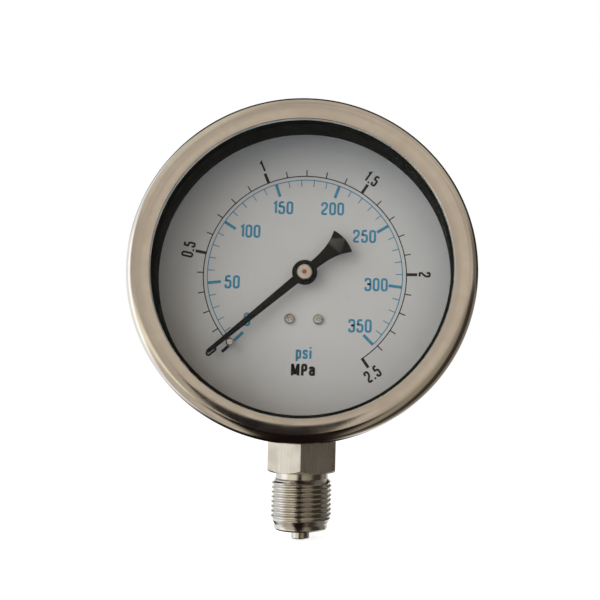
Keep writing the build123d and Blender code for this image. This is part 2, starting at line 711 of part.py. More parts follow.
# ================================================================ case screws, washers and vent plug
washer_back = case_back + washer_thickness
with BuildPart() as screw_washers:
    for place in case_screw_places:
        ring(case_back, washer_back, case_screw_radius + fit_gap, washer_radius, place)
finish(screw_washers, "screw_washers")

with BuildPart() as case_screws:
    for place in case_screw_places:
        ring(washer_back, washer_back + case_screw_head_height, 0, case_screw_head_radius, place)
    head_edges = case_screws.edges().filter_by(GeomType.CIRCLE).group_by(Axis.Y)[-1]
    fillet(head_edges, radius=case_screw_crown)
    for place in case_screw_places:
        ring(case_floor - case_screw_depth, washer_back, 0, case_screw_radius, place)
        with BuildSketch(face_plane(washer_back + case_screw_head_height, place)):
            RegularPolygon(key_across / 2, 6, major_radius=False)
        extrude(amount=key_depth, mode=Mode.SUBTRACT)
finish(case_screws, "case_screws")

case_top = dial_z + case_radius
with BuildPart() as vent_plug:
    with BuildSketch(Plane.XY.offset(case_top - plug_sink)):
        with Locations((0, plug_y)):
            Circle(plug_head_radius)
    extrude(amount=plug_head_height + plug_sink)
    crown = vent_plug.edges().filter_by(GeomType.CIRCLE).group_by(Axis.Z)[-1]
    fillet(crown, radius=plug_crown)
    with BuildSketch(face_plane(plug_y + plug_head_radius + 1)):
        Circle(case_radius)
    extrude(amount=2 * (plug_head_radius + 1), mode=Mode.SUBTRACT)
    with BuildSketch(Plane.XY.offset(case_top - plug_stem_depth)):
        with Locations((0, plug_y)):
            Circle(plug_hole_radius - seat_gap)
    extrude(amount=plug_stem_depth + plug_crown / 2)
    with BuildSketch(Plane.XY.offset(case_top - plug_stem_depth)):
        with Locations((0, plug_y)):
            Circle(plug_hole_radius + plug_barb_reach)
    extrude(amount=plug_barb_height, taper=plug_barb_taper)
finish(vent_plug, "vent_plug")
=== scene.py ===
# %% [markdown]
# # A dial pressure gauge, finished around its CAD frame
#
# The CAD model says where each part of the gauge is and how it moves. This file gives it its looks. A CAD
# part whose shape is already right stays and is only painted. Where light would show the difference, a finer
# piece is built and stands for the CAD part: the polished bezel, the pointer, the screws, the threaded stem
# and the bent tube. The print and the seal's lip are added. All of it is in metres and in the CAD frame:
# the stem stands at the origin, +Z is up and the dial faces -Y.

# %% Load the CAD frame
import math
from math import cos, pi, radians, sin

import bmesh
import bpy
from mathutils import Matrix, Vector


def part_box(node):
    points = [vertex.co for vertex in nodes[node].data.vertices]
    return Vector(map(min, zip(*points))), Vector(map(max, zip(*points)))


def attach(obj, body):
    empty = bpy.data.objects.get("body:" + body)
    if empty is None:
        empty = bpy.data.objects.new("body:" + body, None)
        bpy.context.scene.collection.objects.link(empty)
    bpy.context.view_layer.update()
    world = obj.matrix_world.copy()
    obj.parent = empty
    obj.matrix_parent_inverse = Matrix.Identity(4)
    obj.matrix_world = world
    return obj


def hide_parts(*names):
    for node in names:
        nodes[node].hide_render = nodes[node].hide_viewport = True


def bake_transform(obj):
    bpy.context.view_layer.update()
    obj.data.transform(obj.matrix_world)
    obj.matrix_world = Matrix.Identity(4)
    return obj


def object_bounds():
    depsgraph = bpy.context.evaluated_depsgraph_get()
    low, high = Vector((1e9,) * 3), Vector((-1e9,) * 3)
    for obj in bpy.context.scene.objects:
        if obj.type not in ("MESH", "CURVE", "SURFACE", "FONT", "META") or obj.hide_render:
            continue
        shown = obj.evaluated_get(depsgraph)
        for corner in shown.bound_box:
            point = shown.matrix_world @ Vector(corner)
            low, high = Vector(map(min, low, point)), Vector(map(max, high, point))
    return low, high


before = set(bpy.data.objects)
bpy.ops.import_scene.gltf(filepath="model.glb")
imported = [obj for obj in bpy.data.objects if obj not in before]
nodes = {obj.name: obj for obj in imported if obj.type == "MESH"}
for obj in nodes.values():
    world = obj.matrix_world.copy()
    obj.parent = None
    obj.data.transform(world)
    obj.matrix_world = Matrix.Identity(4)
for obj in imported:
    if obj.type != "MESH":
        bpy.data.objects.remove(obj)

cad_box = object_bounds()
scene = bpy.context.scene
mm = 0.001

# %% [markdown]
# ## The gauge's main measures
#
# Every piece is placed from the boxes of the CAD parts, so that it fits without any nudging. The dial's box
# gives the axis that the pointer turns about; the bezel's and the window's boxes give the ring and the glass.

# %% Read the main measures
dial_low, dial_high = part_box("dial")
axis_height = (dial_low.z + dial_high.z) / 2
dial_face = dial_low.y
bezel_low, bezel_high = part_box("bezel_ring")
bezel_radius = (bezel_high.x - bezel_low.x) / 2
print(f"pointer axis {axis_height / mm:.1f} mm up, bezel {2 * bezel_radius / mm:.1f} mm across")

# %% [markdown]
# ## Camera
#
# The gauge is seen from slightly below the middle of its dial and a little to the right, with the camera
# tipped up by eight degrees. That is why the wall inside the ring shows at the top and on the left and hides
# at the bottom. A lens of 43 mm close to the object gives the strong perspective of a product close-up. The
# small lens shift frames the gauge off the lens's axis, as a cropped picture does.

# %% Place the camera
camera_place = Vector((11.62, -243.11, 40.23)) * mm
camera_pitch, camera_roll, camera_yaw = 98.014, -1.049, -0.959
camera_lens = 42.9
shift_x, shift_y = -0.0842, 0.0084
camera = bpy.data.objects.new("camera", bpy.data.cameras.new("camera"))
scene.collection.objects.link(camera)
camera.location = camera_place
camera.rotation_euler = (radians(camera_pitch), radians(camera_roll), radians(camera_yaw))
camera.data.lens = camera_lens
camera.data.shift_x, camera.data.shift_y = shift_x, shift_y
camera.data.clip_start = 0.01
scene.camera = camera
print("camera at", [round(v / mm) for v in camera.location], "mm")

# %% [markdown]
# ## Helpers for node trees
#
# A node tree is quicker to read when one line adds a node, sets it and links it. `add` takes plain values
# and sockets alike. `group` starts a shader node group with named inputs and outputs, which is how an effect
# is built once and then used by many materials, each with its own values.

# %% Node helpers
def add(tree, kind, inputs=None, **settings):
    """A new node; each input is a plain value, or a socket to link from."""
    node = tree.nodes.new("ShaderNode" + kind)
    for name, value in settings.items():
        setattr(node, name, value)
    for name, value in (inputs or {}).items():
        if isinstance(value, bpy.types.NodeSocket):
            tree.links.new(value, node.inputs[name])
        else:
            node.inputs[name].default_value = value
    return node


def calc(tree, operation, a, b=0.0):
    """One arithmetic step."""
    return add(tree, "Math", {0: a, 1: b}, operation=operation).outputs[0]


def ramp(tree, value, start, end, low=0.0, high=1.0):
    """A value that goes smoothly from low to high while the input goes from start to end."""
    inputs = {"Value": value, "From Min": start, "From Max": end, "To Min": low, "To Max": high}
    return add(tree, "MapRange", inputs, interpolation_type="SMOOTHSTEP").outputs["Result"]


def tint(tree, factor, colour_a, colour_b):
    """Colour a where the factor is 0 and colour b where it is 1."""
    node = add(tree, "Mix", {0: factor, 6: colour_a, 7: colour_b}, data_type="RGBA")
    return node.outputs[2]


def group(name, inputs, outputs):
    """A node group: inputs are (name, default) and outputs are names; returns the tree and its ends."""
    tree = bpy.data.node_groups.new(name, "ShaderNodeTree")
    for socket, default in inputs:
        made = tree.interface.new_socket(socket, in_out="INPUT", socket_type="NodeSocketFloat")
        made.default_value = default
    for socket in outputs:
        tree.interface.new_socket(socket, in_out="OUTPUT", socket_type="NodeSocketFloat")
    return tree, tree.nodes.new("NodeGroupInput").outputs, tree.nodes.new("NodeGroupOutput").inputs


def place(tree, shared, **values):
    """A shared group placed in a material; returns its outputs."""
    node = add(tree, "Group", node_tree=shared)
    for name, value in values.items():
        socket = node.inputs[name.replace("_", " ")]
        if isinstance(value, bpy.types.NodeSocket):
            tree.links.new(value, socket)
        else:
            socket.default_value = value
    return node.outputs


def material(name, **plain):
    """A material, its tree and its main shader, with the shader's plain sockets set."""
    made = bpy.data.materials.new(name)
    made.use_nodes = True
    shader = made.node_tree.nodes["Principled BSDF"]
    for socket, value in plain.items():
        shader.inputs[socket.replace("_", " ")].default_value = value
    return made, made.node_tree, shader


def feed(tree, shader, **sources):
    """Links sockets to the main shader's inputs."""
    for socket, source in sources.items():
        tree.links.new(source, shader.inputs[socket.replace("_", " ")])


def bump(tree, shader, height, distance, strength=1.0):
    """Turns a height into a bent normal; distance is the relief's height in metres."""
    inputs = {"Height": height, "Distance": distance, "Strength": strength}
    feed(tree, shader, Normal=add(tree, "Bump", inputs).outputs["Normal"])


print("node helpers ready")

# %% [markdown]
# ## Surroundings for the polished metal
#
# Polished steel has hardly any look of its own: it shows the room. Diffuse surfaces get a plain even light
# from the world, but glossy rays see a small studio: a warm wall in front, a white screen on the left, a
# dimmer side on the right, light again far behind, and a dark table edge below in front. The world's
# Generated coordinate is the direction that a ray leaves in, so the studio is only a few smooth masks on
# that direction. The camera itself sees plain white.

# %% Build the world
world = bpy.data.worlds.new("studio")
scene.world = world
world.use_nodes = True
tree = world.node_tree
tree.nodes.clear()
direction = add(tree, "SeparateXYZ", {0: add(tree, "TexCoord").outputs["Generated"]}).outputs
to_right, to_back, to_top = direction["X"], direction["Y"], direction["Z"]
wall_low, wall_high = (0.44, 0.372, 0.298, 1), (0.60, 0.515, 0.415, 1)
wall_left = (0.66, 0.60, 0.48, 1)
white_screen = (1.4, 1.36, 1.3, 1)
cream = (0.95, 0.90, 0.70, 1)
right_side = (0.17, 0.15, 0.115, 1)
far_light = (1.0, 0.97, 0.90, 1)
dark_below = (0.009, 0.005, 0.004, 1)
dark_behind = (0.02, 0.018, 0.017, 1)
brown_floor = (0.20, 0.165, 0.13, 1)
behind_left = (0.95, 0.97, 1.0, 1)
level_right = {                    # at eye level: degrees to the right of straight ahead, and the colour there
    0: (0.53, 0.445, 0.36, 1), 10: (0.36, 0.31, 0.235, 1), 42: (0.25, 0.21, 0.155, 1),
    52: (0.045, 0.036, 0.027, 1), 92: (0.05, 0.04, 0.03, 1), 100: (0.24, 0.22, 0.19, 1),
    134: (0.22, 0.20, 0.17, 1), 145: far_light,
}


def both(*masks):
    """The product of several masks."""
    result = masks[0]
    for mask in masks[1:]:
        result = calc(tree, "MULTIPLY", result, mask)
    return result


to_front = calc(tree, "MULTIPLY", to_back, -1.0)
turn_right = calc(tree, "DIVIDE", calc(tree, "ARCTAN2", to_right, to_front), pi)
stops = add(tree, "ValToRGB", {0: turn_right})
stops.color_ramp.elements[0].color = level_right[0]
stops.color_ramp.elements[1].color = far_light
for degrees, colour in level_right.items():
    if degrees:
        stops.color_ramp.elements.new(degrees / 180).color = colour

right_mask = both(ramp(tree, to_right, 0.70, 0.90), ramp(tree, to_top, 0.55, 0.3))
level_mask = both(ramp(tree, to_right, 0.0, 0.08), ramp(tree, to_top, 0.14, 0.02))
edge_drop = calc(tree, "MULTIPLY", ramp(tree, to_back, 0.2, 0.5), 0.14)
below_mask = both(ramp(tree, calc(tree, "ADD", to_top, edge_drop), -0.14, -0.26),
                  ramp(tree, to_right, -0.44, -0.30), ramp(tree, to_right, 0.34, 0.14))
low_right = both(ramp(tree, to_top, -0.2, -0.4), ramp(tree, to_right, 0.1, 0.35))
cream_mask = both(ramp(tree, to_right, -0.30, -0.42), ramp(tree, to_top, 0.05, -0.06),
                  ramp(tree, to_top, -0.35, -0.2))
left_glow = both(ramp(tree, to_right, -0.12, -0.5), ramp(tree, to_top, 0.35, 0.6))
screen_mask = ramp(tree, to_right, -0.84, -0.96)
behind_mask = both(ramp(tree, to_back, 0.05, 0.3), ramp(tree, to_right, -0.85, -0.55))
left_behind = both(ramp(tree, to_back, -0.02, 0.2), ramp(tree, to_right, -0.5, -0.8))
far_mask = both(ramp(tree, to_back, 0.6, 0.8), ramp(tree, to_top, 0.3, 0.2),
                ramp(tree, to_top, -0.36, -0.24), ramp(tree, to_right, 0.62, 0.46))
ray_way = add(tree, "TexCoord").outputs["Generated"]
patches = add(tree, "TexNoise", {"Vector": ray_way, "Scale": 3.2, "Detail": 2.0})
warm_wall = tint(tree, ramp(tree, patches.outputs["Fac"], 0.32, 0.68), wall_low, wall_high)
room = tint(tree, left_glow, warm_wall, wall_left)
room = tint(tree, right_mask, room, right_side)
room = tint(tree, low_right, room, brown_floor)
room = tint(tree, cream_mask, room, cream)
room = tint(tree, screen_mask, room, white_screen)
room = tint(tree, behind_mask, room, dark_behind)
room = tint(tree, left_behind, room, behind_left)
room = tint(tree, far_mask, room, far_light)
room = tint(tree, level_mask, room, stops.outputs["Color"])
room = tint(tree, below_mask, room, dark_below)
ray = add(tree, "LightPath").outputs
soft_light = add(tree, "Background", {"Color": (0.93, 0.97, 1.0, 1), "Strength": 0.50})
seen_gloss = add(tree, "Background", {"Color": room, "Strength": 1.0})
seen_white = add(tree, "Background", {"Color": (1, 1, 1, 1), "Strength": 1.0})
lit = add(tree, "MixShader", {0: ray["Is Glossy Ray"], 1: soft_light.outputs[0], 2: seen_gloss.outputs[0]})
seen = add(tree, "MixShader", {0: ray["Is Camera Ray"], 1: lit.outputs[0], 2: seen_white.outputs[0]})
add(tree, "OutputWorld", {"Surface": seen.outputs[0]})
scene.view_settings.view_transform = "Standard"
print("world:", len(tree.nodes), "nodes")

# %% [markdown]
# ## Key light
#
# One large soft box stands up on the left in front of the gauge. It is low enough over the dial for the deep
# ring to shade the dial's left edge, and soft enough for the pointer to cast only a faint shadow down to the
# right. It is hidden from glossy rays, because the studio above already says what the metal reflects.

# %% Add the key light
key = bpy.data.objects.new("key_light", bpy.data.lights.new("key_light", "AREA"))
scene.collection.objects.link(key)
key.data.shape = "DISK"
key.data.size = 0.8
key.data.energy = 4.3
key.data.color = (1.0, 0.985, 0.965)
dial_centre = Vector((0, dial_face, axis_height))
key.location = dial_centre + Vector((-520, -380, 170)) * mm
key.rotation_euler = (dial_centre - key.location).to_track_quat("-Z", "Y").to_euler()
key.visible_glossy = False
key.visible_transmission = False
print("key light", round((key.location - dial_centre).length, 2), "m from the dial")

# %% [markdown]
# ## Floor, the dark shape in front and the gauze
#
# The floor is pale and takes a weak shadow where the stem stands on it. It is hidden from glossy rays, because
# the studio already says what the metal reflects below. The flat dark card in front stands for the camera's
# own reflection: it is hidden from the camera and blocks no light, and it gives the glass its dim patch and
# the turned stem its dark middle stripe. The gauze only dims the lamp: it gives the lower left of the dial
# the soft shade of somebody standing in front of it.

# %% Make the floor and the cards
def flat_card(name, corners):
    """A plain four-cornered sheet for the stage."""
    mesh = bpy.data.meshes.new(name)
    mesh.from_pydata([Vector(c) for c in corners], [], [(0, 1, 2, 3)])
    card = bpy.data.objects.new(name, mesh)
    scene.collection.objects.link(card)
    return card


floor_reach = 3.0
floor_z = cad_box[0].z
floor = flat_card("floor", [
    (-floor_reach, -floor_reach, floor_z), (floor_reach, -floor_reach, floor_z),
    (floor_reach, floor_reach, floor_z), (-floor_reach, floor_reach, floor_z),
])
floor_paint, tree, shader = material("floor_paint", Roughness=0.9)
shader.inputs["Base Color"].default_value = (0.7, 0.7, 0.7, 1)
seen_directly = add(tree, "LightPath").outputs["Is Camera Ray"]
glow = add(tree, "Emission", {"Color": (1, 1, 1, 1), "Strength": calc(tree, "MULTIPLY", seen_directly, 0.8)})
pale = add(tree, "AddShader", {0: shader.outputs[0], 1: glow.outputs[0]})
tree.links.new(pale.outputs[0], tree.nodes["Material Output"].inputs["Surface"])
floor.data.materials.append(floor_paint)
floor.visible_glossy = False


def upright_card(name, left, right, low, high, depth, hidden_from):
    """A card that faces the dial, its sides in millimetres; it is hidden from some kinds of ray."""
    corners = [(left, depth, low), (right, depth, low), (right, depth, high), (left, depth, high)]
    card = flat_card(name, [Vector(c) * mm for c in corners])
    for ray_kind in hidden_from:
        setattr(card, "visible_" + ray_kind, False)
    return card


only_glossy = ("camera", "diffuse", "transmission", "shadow", "volume_scatter")
dark_card = upright_card("dark_card", -61, 10, -60, 76.5, -242, only_glossy)
card_paint, tree, shader = material("card_paint", Roughness=1.0)
shader.inputs["Base Color"].default_value = (0.02, 0.014, 0.012, 1)
dark_card.data.materials.append(card_paint)

only_shadow = ("camera", "diffuse", "glossy", "transmission", "volume_scatter")
gauze = upright_card("gauze", -110, -28, 20, 67, -42, only_shadow)
gauze_paint, tree, shader = material("gauze_paint", Roughness=1.0)
thin = add(tree, "BsdfTransparent", {"Color": (0.45, 0.46, 0.48, 1)})
tree.links.new(thin.outputs[0], tree.nodes["Material Output"].inputs["Surface"])
gauze.data.materials.append(gauze_paint)
print("stage:", floor.name, dark_card.name, gauze.name)

# %% [markdown]
# ## Shared surface effects
#
# Each effect below is one node group. `fine_lines` is what a lathe tool or a polishing wheel leaves: lines
# across one coordinate. `grain` is straight brushing along one direction. `smudges` are the broad soft
# patches of handling that make a clean surface read as real. `specks` are dust and pinholes. `edge_wear`
# finds convex edges, where plating and lacquer rub off first. `around_dial` measures how far a point is from
# the dial's axis, so that turned parts get rings and not stripes.

# %% Make the effect groups
around_dial, _, out = group("around_dial", [], ["Radius", "Depth"])
point = add(around_dial, "SeparateXYZ", {0: add(around_dial, "TexCoord").outputs["Object"]}).outputs
height = calc(around_dial, "SUBTRACT", point["Z"], axis_height)
squares = [calc(around_dial, "MULTIPLY", value, value) for value in (point["X"], height)]
radius = calc(around_dial, "SQRT", calc(around_dial, "ADD", *squares))
around_dial.links.new(radius, out["Radius"])
around_dial.links.new(point["Y"], out["Depth"])

fine_lines, given, out = group("fine_lines", [("Across", 0.0), ("Spacing", 0.0002), ("Contrast", 1.0)], ["Lines"])
scaled = calc(fine_lines, "DIVIDE", given["Across"], given["Spacing"])
noise = add(fine_lines, "TexNoise", {"W": scaled, "Scale": 1.0, "Detail": 3.0}, noise_dimensions="1D")
centred = calc(fine_lines, "SUBTRACT", noise.outputs["Fac"], 0.5)
lines = calc(fine_lines, "ADD", calc(fine_lines, "MULTIPLY", centred, given["Contrast"]), 0.5)
fine_lines.links.new(lines, out["Lines"])


def stretched_noise(name, along, detail, low, high):
    """A group of noise on the object's own coordinates, scaled apart along X, Y and Z by its inputs."""
    sockets = [("Across X", along[0]), ("Across Y", along[1]), ("Across Z", along[2]), ("Shift", 0.0)]
    tree, given, out = group(name, sockets, ["Mask"])
    scales = add(tree, "CombineXYZ", {0: given["Across X"], 1: given["Across Y"], 2: given["Across Z"]})
    point = add(tree, "TexCoord").outputs["Object"]
    shifted = add(tree, "VectorMath", {0: point, 1: given["Shift"]}, operation="ADD").outputs[0]
    scaled = add(tree, "VectorMath", {0: shifted, 1: scales.outputs[0]}, operation="MULTIPLY")
    noise = add(tree, "TexNoise", {"Vector": scaled.outputs[0], "Scale": 1.0, "Detail": detail})
    tree.links.new(ramp(tree, noise.outputs["Fac"], low, high), out["Mask"])
    return tree


def even_mask(tree, noise, scale, **values):
    """The mask of one of these groups, with the same scale along X, Y and Z."""
    return place(tree, noise, Across_X=scale, Across_Y=scale, Across_Z=scale, **values)["Mask"]


grain = stretched_noise("grain", (6000, 6000, 250), 3.0, 0.3, 0.7)
smudges = stretched_noise("smudges", (60, 60, 60), 4.0, 0.35, 0.68)
specks = stretched_noise("specks", (2600, 2600, 2600), 1.0, 0.70, 0.76)

edge_wear, given, out = group("edge_wear", [("Start", 0.52), ("End", 0.60)], ["Mask"])
sharpness = add(edge_wear, "NewGeometry").outputs["Pointiness"]
edge_wear.links.new(ramp(edge_wear, sharpness, given["Start"], given["End"]), out["Mask"])
print("effect groups:", ", ".join(g.name for g in bpy.data.node_groups))

# %% [markdown]
# ## Polished steel for the bezel
#
# The ring is spun from stainless sheet and buffed on a wheel. What is left is a mirror with faint rings, a
# little haze that comes and goes, and a slight warm and cool mottling. The haze matters most: an even
# roughness looks like plastic chrome.

# %% Make the polished steel
polished_steel, tree, shader = material("polished_steel", Metallic=1.0)
turned = place(tree, around_dial)
rings = place(tree, fine_lines, Across=turned["Radius"], Spacing=0.00012, Contrast=1.6)["Lines"]
haze = even_mask(tree, smudges, 110)
mottle = even_mask(tree, smudges, 330, Shift=0.3)
steel_tone = tint(tree, mottle, (0.745, 0.715, 0.675, 1), (0.775, 0.755, 0.725, 1))
steel_tone = tint(tree, calc(tree, "MULTIPLY", haze, 0.35), steel_tone, (0.70, 0.66, 0.62, 1))
dull = calc(tree, "ADD", calc(tree, "MULTIPLY", haze, 0.07), calc(tree, "MULTIPLY", rings, 0.05))
feed(tree, shader, Base_Color=steel_tone, Roughness=calc(tree, "ADD", dull, 0.07))
bump(tree, shader, rings, 0.0000015)
print("polished steel:", len(tree.nodes), "nodes")

# %% [markdown]
# ## Satin steel for the case, turned steel for the stem, drawn steel for the tube
#
# The case is brushed in rings, which scatter light into broad streaks. The stem is turned on a lathe where
# it is round, with tool lines around it, and milled or drawn on its flats, with lines along it; one mask by
# the distance from the stem's axis would not do, so the flats are told apart by their height.

# %% Make the satin, turned and drawn steels
case_steel, tree, shader = material("case_steel", Metallic=1.0)
turned = place(tree, around_dial)
rings = place(tree, fine_lines, Across=turned["Radius"], Spacing=0.00022, Contrast=2.2)["Lines"]
along = place(tree, fine_lines, Across=turned["Depth"], Spacing=0.00022, Contrast=2.2)["Lines"]
facing = add(tree, "SeparateXYZ", {0: add(tree, "NewGeometry").outputs["Normal"]}).outputs["Y"]
on_wall = ramp(tree, calc(tree, "ABSOLUTE", facing), 0.75, 0.35)
mixed = add(tree, "Mix", {0: on_wall, 2: rings, 3: along}).outputs[0]
haze = even_mask(tree, smudges, 70)
tone = tint(tree, haze, (0.63, 0.62, 0.605, 1), (0.56, 0.55, 0.535, 1))
feed(tree, shader, Base_Color=tint(tree, calc(tree, "MULTIPLY", mixed, 0.3), tone, (0.72, 0.71, 0.70, 1)))
uneven = calc(tree, "ADD", calc(tree, "MULTIPLY", mixed, 0.1), 0.22)
feed(tree, shader, Roughness=calc(tree, "ADD", calc(tree, "MULTIPLY", haze, 0.1), uneven))
bump(tree, shader, mixed, 0.000004)

hex_low, hex_high = 18.3 * mm, 30 * mm
socket_steel, tree, shader = material("socket_steel", Metallic=1.0)
point = add(tree, "SeparateXYZ", {0: add(tree, "TexCoord").outputs["Object"]}).outputs
tool_lines = place(tree, fine_lines, Across=point["Z"], Spacing=0.00010, Contrast=1.5)["Lines"]
brushing = place(tree, grain, Across_X=5200, Across_Y=5200, Across_Z=120)["Mask"]
above_bottom = ramp(tree, point["Z"], hex_low - 0.05 * mm, hex_low + 0.25 * mm)
below_top = ramp(tree, point["Z"], hex_high + 0.1 * mm, hex_high)
on_hex = calc(tree, "MULTIPLY", above_bottom, below_top)
marks = add(tree, "Mix", {0: on_hex, 2: tool_lines, 3: brushing}).outputs[0]
haze = even_mask(tree, smudges, 160)
tone = tint(tree, haze, (0.70, 0.685, 0.655, 1), (0.61, 0.59, 0.56, 1))
tone = tint(tree, calc(tree, "MULTIPLY", marks, 0.35), tone, (0.78, 0.77, 0.75, 1))
rough_turned = calc(tree, "ADD", calc(tree, "MULTIPLY", marks, 0.10), 0.12)
rough_hex = calc(tree, "ADD", calc(tree, "MULTIPLY", marks, 0.18), 0.24)
roughness = add(tree, "Mix", {0: on_hex, 2: rough_turned, 3: rough_hex}).outputs[0]
feed(tree, shader, Base_Color=tone, Roughness=calc(tree, "ADD", roughness, calc(tree, "MULTIPLY", haze, 0.06)))
bump(tree, shader, marks, 0.000004)

tube_steel, tree, shader = material("tube_steel", Metallic=1.0)
turned = place(tree, around_dial)
drawn = place(tree, fine_lines, Across=turned["Radius"], Spacing=0.00016, Contrast=2.0)["Lines"]
heat = even_mask(tree, smudges, 45)
feed(tree, shader, Base_Color=tint(tree, heat, (0.60, 0.58, 0.55, 1), (0.52, 0.47, 0.41, 1)))
feed(tree, shader, Roughness=calc(tree, "ADD", calc(tree, "MULTIPLY", drawn, 0.14), 0.2))
bump(tree, shader, drawn, 0.000003)
print("steels:", case_steel.name, socket_steel.name, tube_steel.name)

# %% [markdown]
# ## Brass, bronze, nickel and bright plating for the works and the screws
#
# These differ in colour and in how coarse their marks are, so one function makes them all: machining lines,
# tarnish that settles in soft patches, and edges rubbed bright.

# %% Make the small metals
def small_metal(name, clean, tarnished, roughness, spacing):
    """A machined metal with lines, patches of tarnish and bright edges."""
    made, tree, shader = material(name, Metallic=1.0)
    turned = place(tree, around_dial)
    lines = place(tree, fine_lines, Across=turned["Radius"], Spacing=spacing, Contrast=2.0)["Lines"]
    patches = even_mask(tree, smudges, 260)
    worn = place(tree, edge_wear)["Mask"]
    tone = tint(tree, patches, clean, tarnished)
    tone = tint(tree, calc(tree, "MULTIPLY", worn, 0.4), tone, [min(1, c * 1.15) for c in clean[:3]] + [1])
    spread = calc(tree, "ADD", calc(tree, "MULTIPLY", patches, 0.12), calc(tree, "MULTIPLY", lines, 0.1))
    feed(tree, shader, Base_Color=tone, Roughness=calc(tree, "ADD", spread, roughness))
    bump(tree, shader, lines, 0.000002)
    return made


brass = small_metal("brass", (0.78, 0.60, 0.30, 1), (0.62, 0.44, 0.20, 1), 0.18, 0.00018)
bronze = small_metal("bronze", (0.72, 0.48, 0.30, 1), (0.52, 0.30, 0.17, 1), 0.16, 0.00010)
hub_nickel = small_metal("hub_nickel", (0.86, 0.775, 0.71, 1), (0.78, 0.68, 0.61, 1), 0.30, 0.00007)
plated_steel = small_metal("plated_steel", (0.72, 0.71, 0.69, 1), (0.60, 0.585, 0.56, 1), 0.10, 0.00014)
# the pinion shaft's end: a reddish metal, painted darker than brass as well; the darkness is painted shade for its
# place deep in the hub's bore
shaft_metal_painted_shade = small_metal("shaft_metal_painted_shade", (0.55, 0.27, 0.16, 1), (0.38, 0.17, 0.10, 1), 0.25, 0.00010)

# %% [markdown]
# ## Rubber, dial paint, inks and pointer lacquer
#
# Rubber is nearly black and matt, with a moulded texture and a grey bloom where it has been touched. The
# dial is sheet metal sprayed white: a fine orange peel, tiny specks, a satin sheen. The inks are screen
# printed, so their tone breathes a little, and pinholes let the white through. The pointer's black lacquer
# wears to bare metal on its edges.

# %% Make the rubber, the paint, the inks and the lacquer
black_rubber, tree, shader = material("black_rubber", Specular_IOR_Level=0.12)
bloom = even_mask(tree, smudges, 180)
texture = even_mask(tree, grain, 3000)
feed(tree, shader, Base_Color=tint(tree, bloom, (0.008, 0.009, 0.007, 1), (0.015, 0.016, 0.013, 1)))
feed(tree, shader, Roughness=calc(tree, "ADD", calc(tree, "MULTIPLY", bloom, 0.15), 0.55))
bump(tree, shader, texture, 0.00001)

dial_white, tree, shader = material("dial_white", Coat_Roughness=0.25)
clouds = even_mask(tree, smudges, 40)
peel = even_mask(tree, grain, 1400)
dust = even_mask(tree, specks, 900)
tone = tint(tree, clouds, (0.80, 0.805, 0.815, 1), (0.765, 0.77, 0.775, 1))
feed(tree, shader, Base_Color=tint(tree, calc(tree, "MULTIPLY", dust, 0.10), tone, (0.45, 0.44, 0.42, 1)))
feed(tree, shader, Roughness=calc(tree, "ADD", calc(tree, "MULTIPLY", clouds, 0.1), 0.42))
bump(tree, shader, peel, 0.000004)


def ink(name, full, thin):
    """A printed colour that is a little uneven, with pinholes."""
    made, tree, shader = material(name, Roughness=0.5)
    cover = even_mask(tree, smudges, 420)
    holes = even_mask(tree, specks, 3200)
    tone = tint(tree, cover, full, thin)
    feed(tree, shader, Base_Color=tint(tree, calc(tree, "MULTIPLY", holes, 0.5), tone, (0.7, 0.7, 0.7, 1)))
    feed(tree, shader, Roughness=calc(tree, "ADD", calc(tree, "MULTIPLY", cover, 0.12), 0.4))
    return made


black_ink = ink("black_ink", (0.012, 0.012, 0.012, 1), (0.020, 0.020, 0.021, 1))
blue_ink = ink("blue_ink", (0.055, 0.30, 0.50, 1), (0.085, 0.36, 0.56, 1))

pointer_black, tree, shader = material("pointer_black", Specular_IOR_Level=0.14)
lacquer = even_mask(tree, smudges, 300)
worn = place(tree, edge_wear, Start=0.56, End=0.66)["Mask"]
tone = tint(tree, lacquer, (0.011, 0.012, 0.010, 1), (0.018, 0.018, 0.016, 1))
feed(tree, shader, Base_Color=tint(tree, calc(tree, "MULTIPLY", worn, 0.25), tone, (0.35, 0.33, 0.30, 1)))
feed(tree, shader, Roughness=calc(tree, "ADD", calc(tree, "MULTIPLY", lacquer, 0.15), 0.42))
bump(tree, shader, even_mask(tree, grain, 2600), 0.000003)
print("paints and inks:", dial_white.name, black_ink.name, blue_ink.name, pointer_black.name)

# %% [markdown]
# ## Window glass
#
# Glass refracts and reflects, but in a path tracer it also throws a dark shadow on whatever it covers. The
# usual cure is to let shadow rays through: the glass shader is mixed with a transparent one wherever the ray
# is a shadow ray. The pane then reflects the room and still lets the lamp reach the dial. Its index is lower
# than that of plain glass, because the pane is coated: it reflects little, and the black parts stay black.

# %% Make the glass
window_glass, tree, shader = material(
    "window_glass", Transmission_Weight=1.0, IOR=1.15, Base_Color=(0.98, 0.99, 1.0, 1)
)
wiped = even_mask(tree, smudges, 90)
feed(tree, shader, Roughness=calc(tree, "MULTIPLY", wiped, 0.012))
clear = add(tree, "BsdfTransparent", {"Color": (0.96, 0.975, 0.975, 1)})
through = add(tree, "LightPath").outputs["Is Shadow Ray"]
pane = add(tree, "MixShader", {0: through, 1: shader.outputs[0], 2: clear.outputs[0]})
tree.links.new(pane.outputs[0], tree.nodes["Material Output"].inputs["Surface"])
print("glass:", window_glass.name)

# %% [markdown]
# ## Paint the CAD parts that stay
#
# The parts below already have their real shape, so they only take a finish. Most of them are the works
# inside the case, which nobody sees until the gauge is opened.

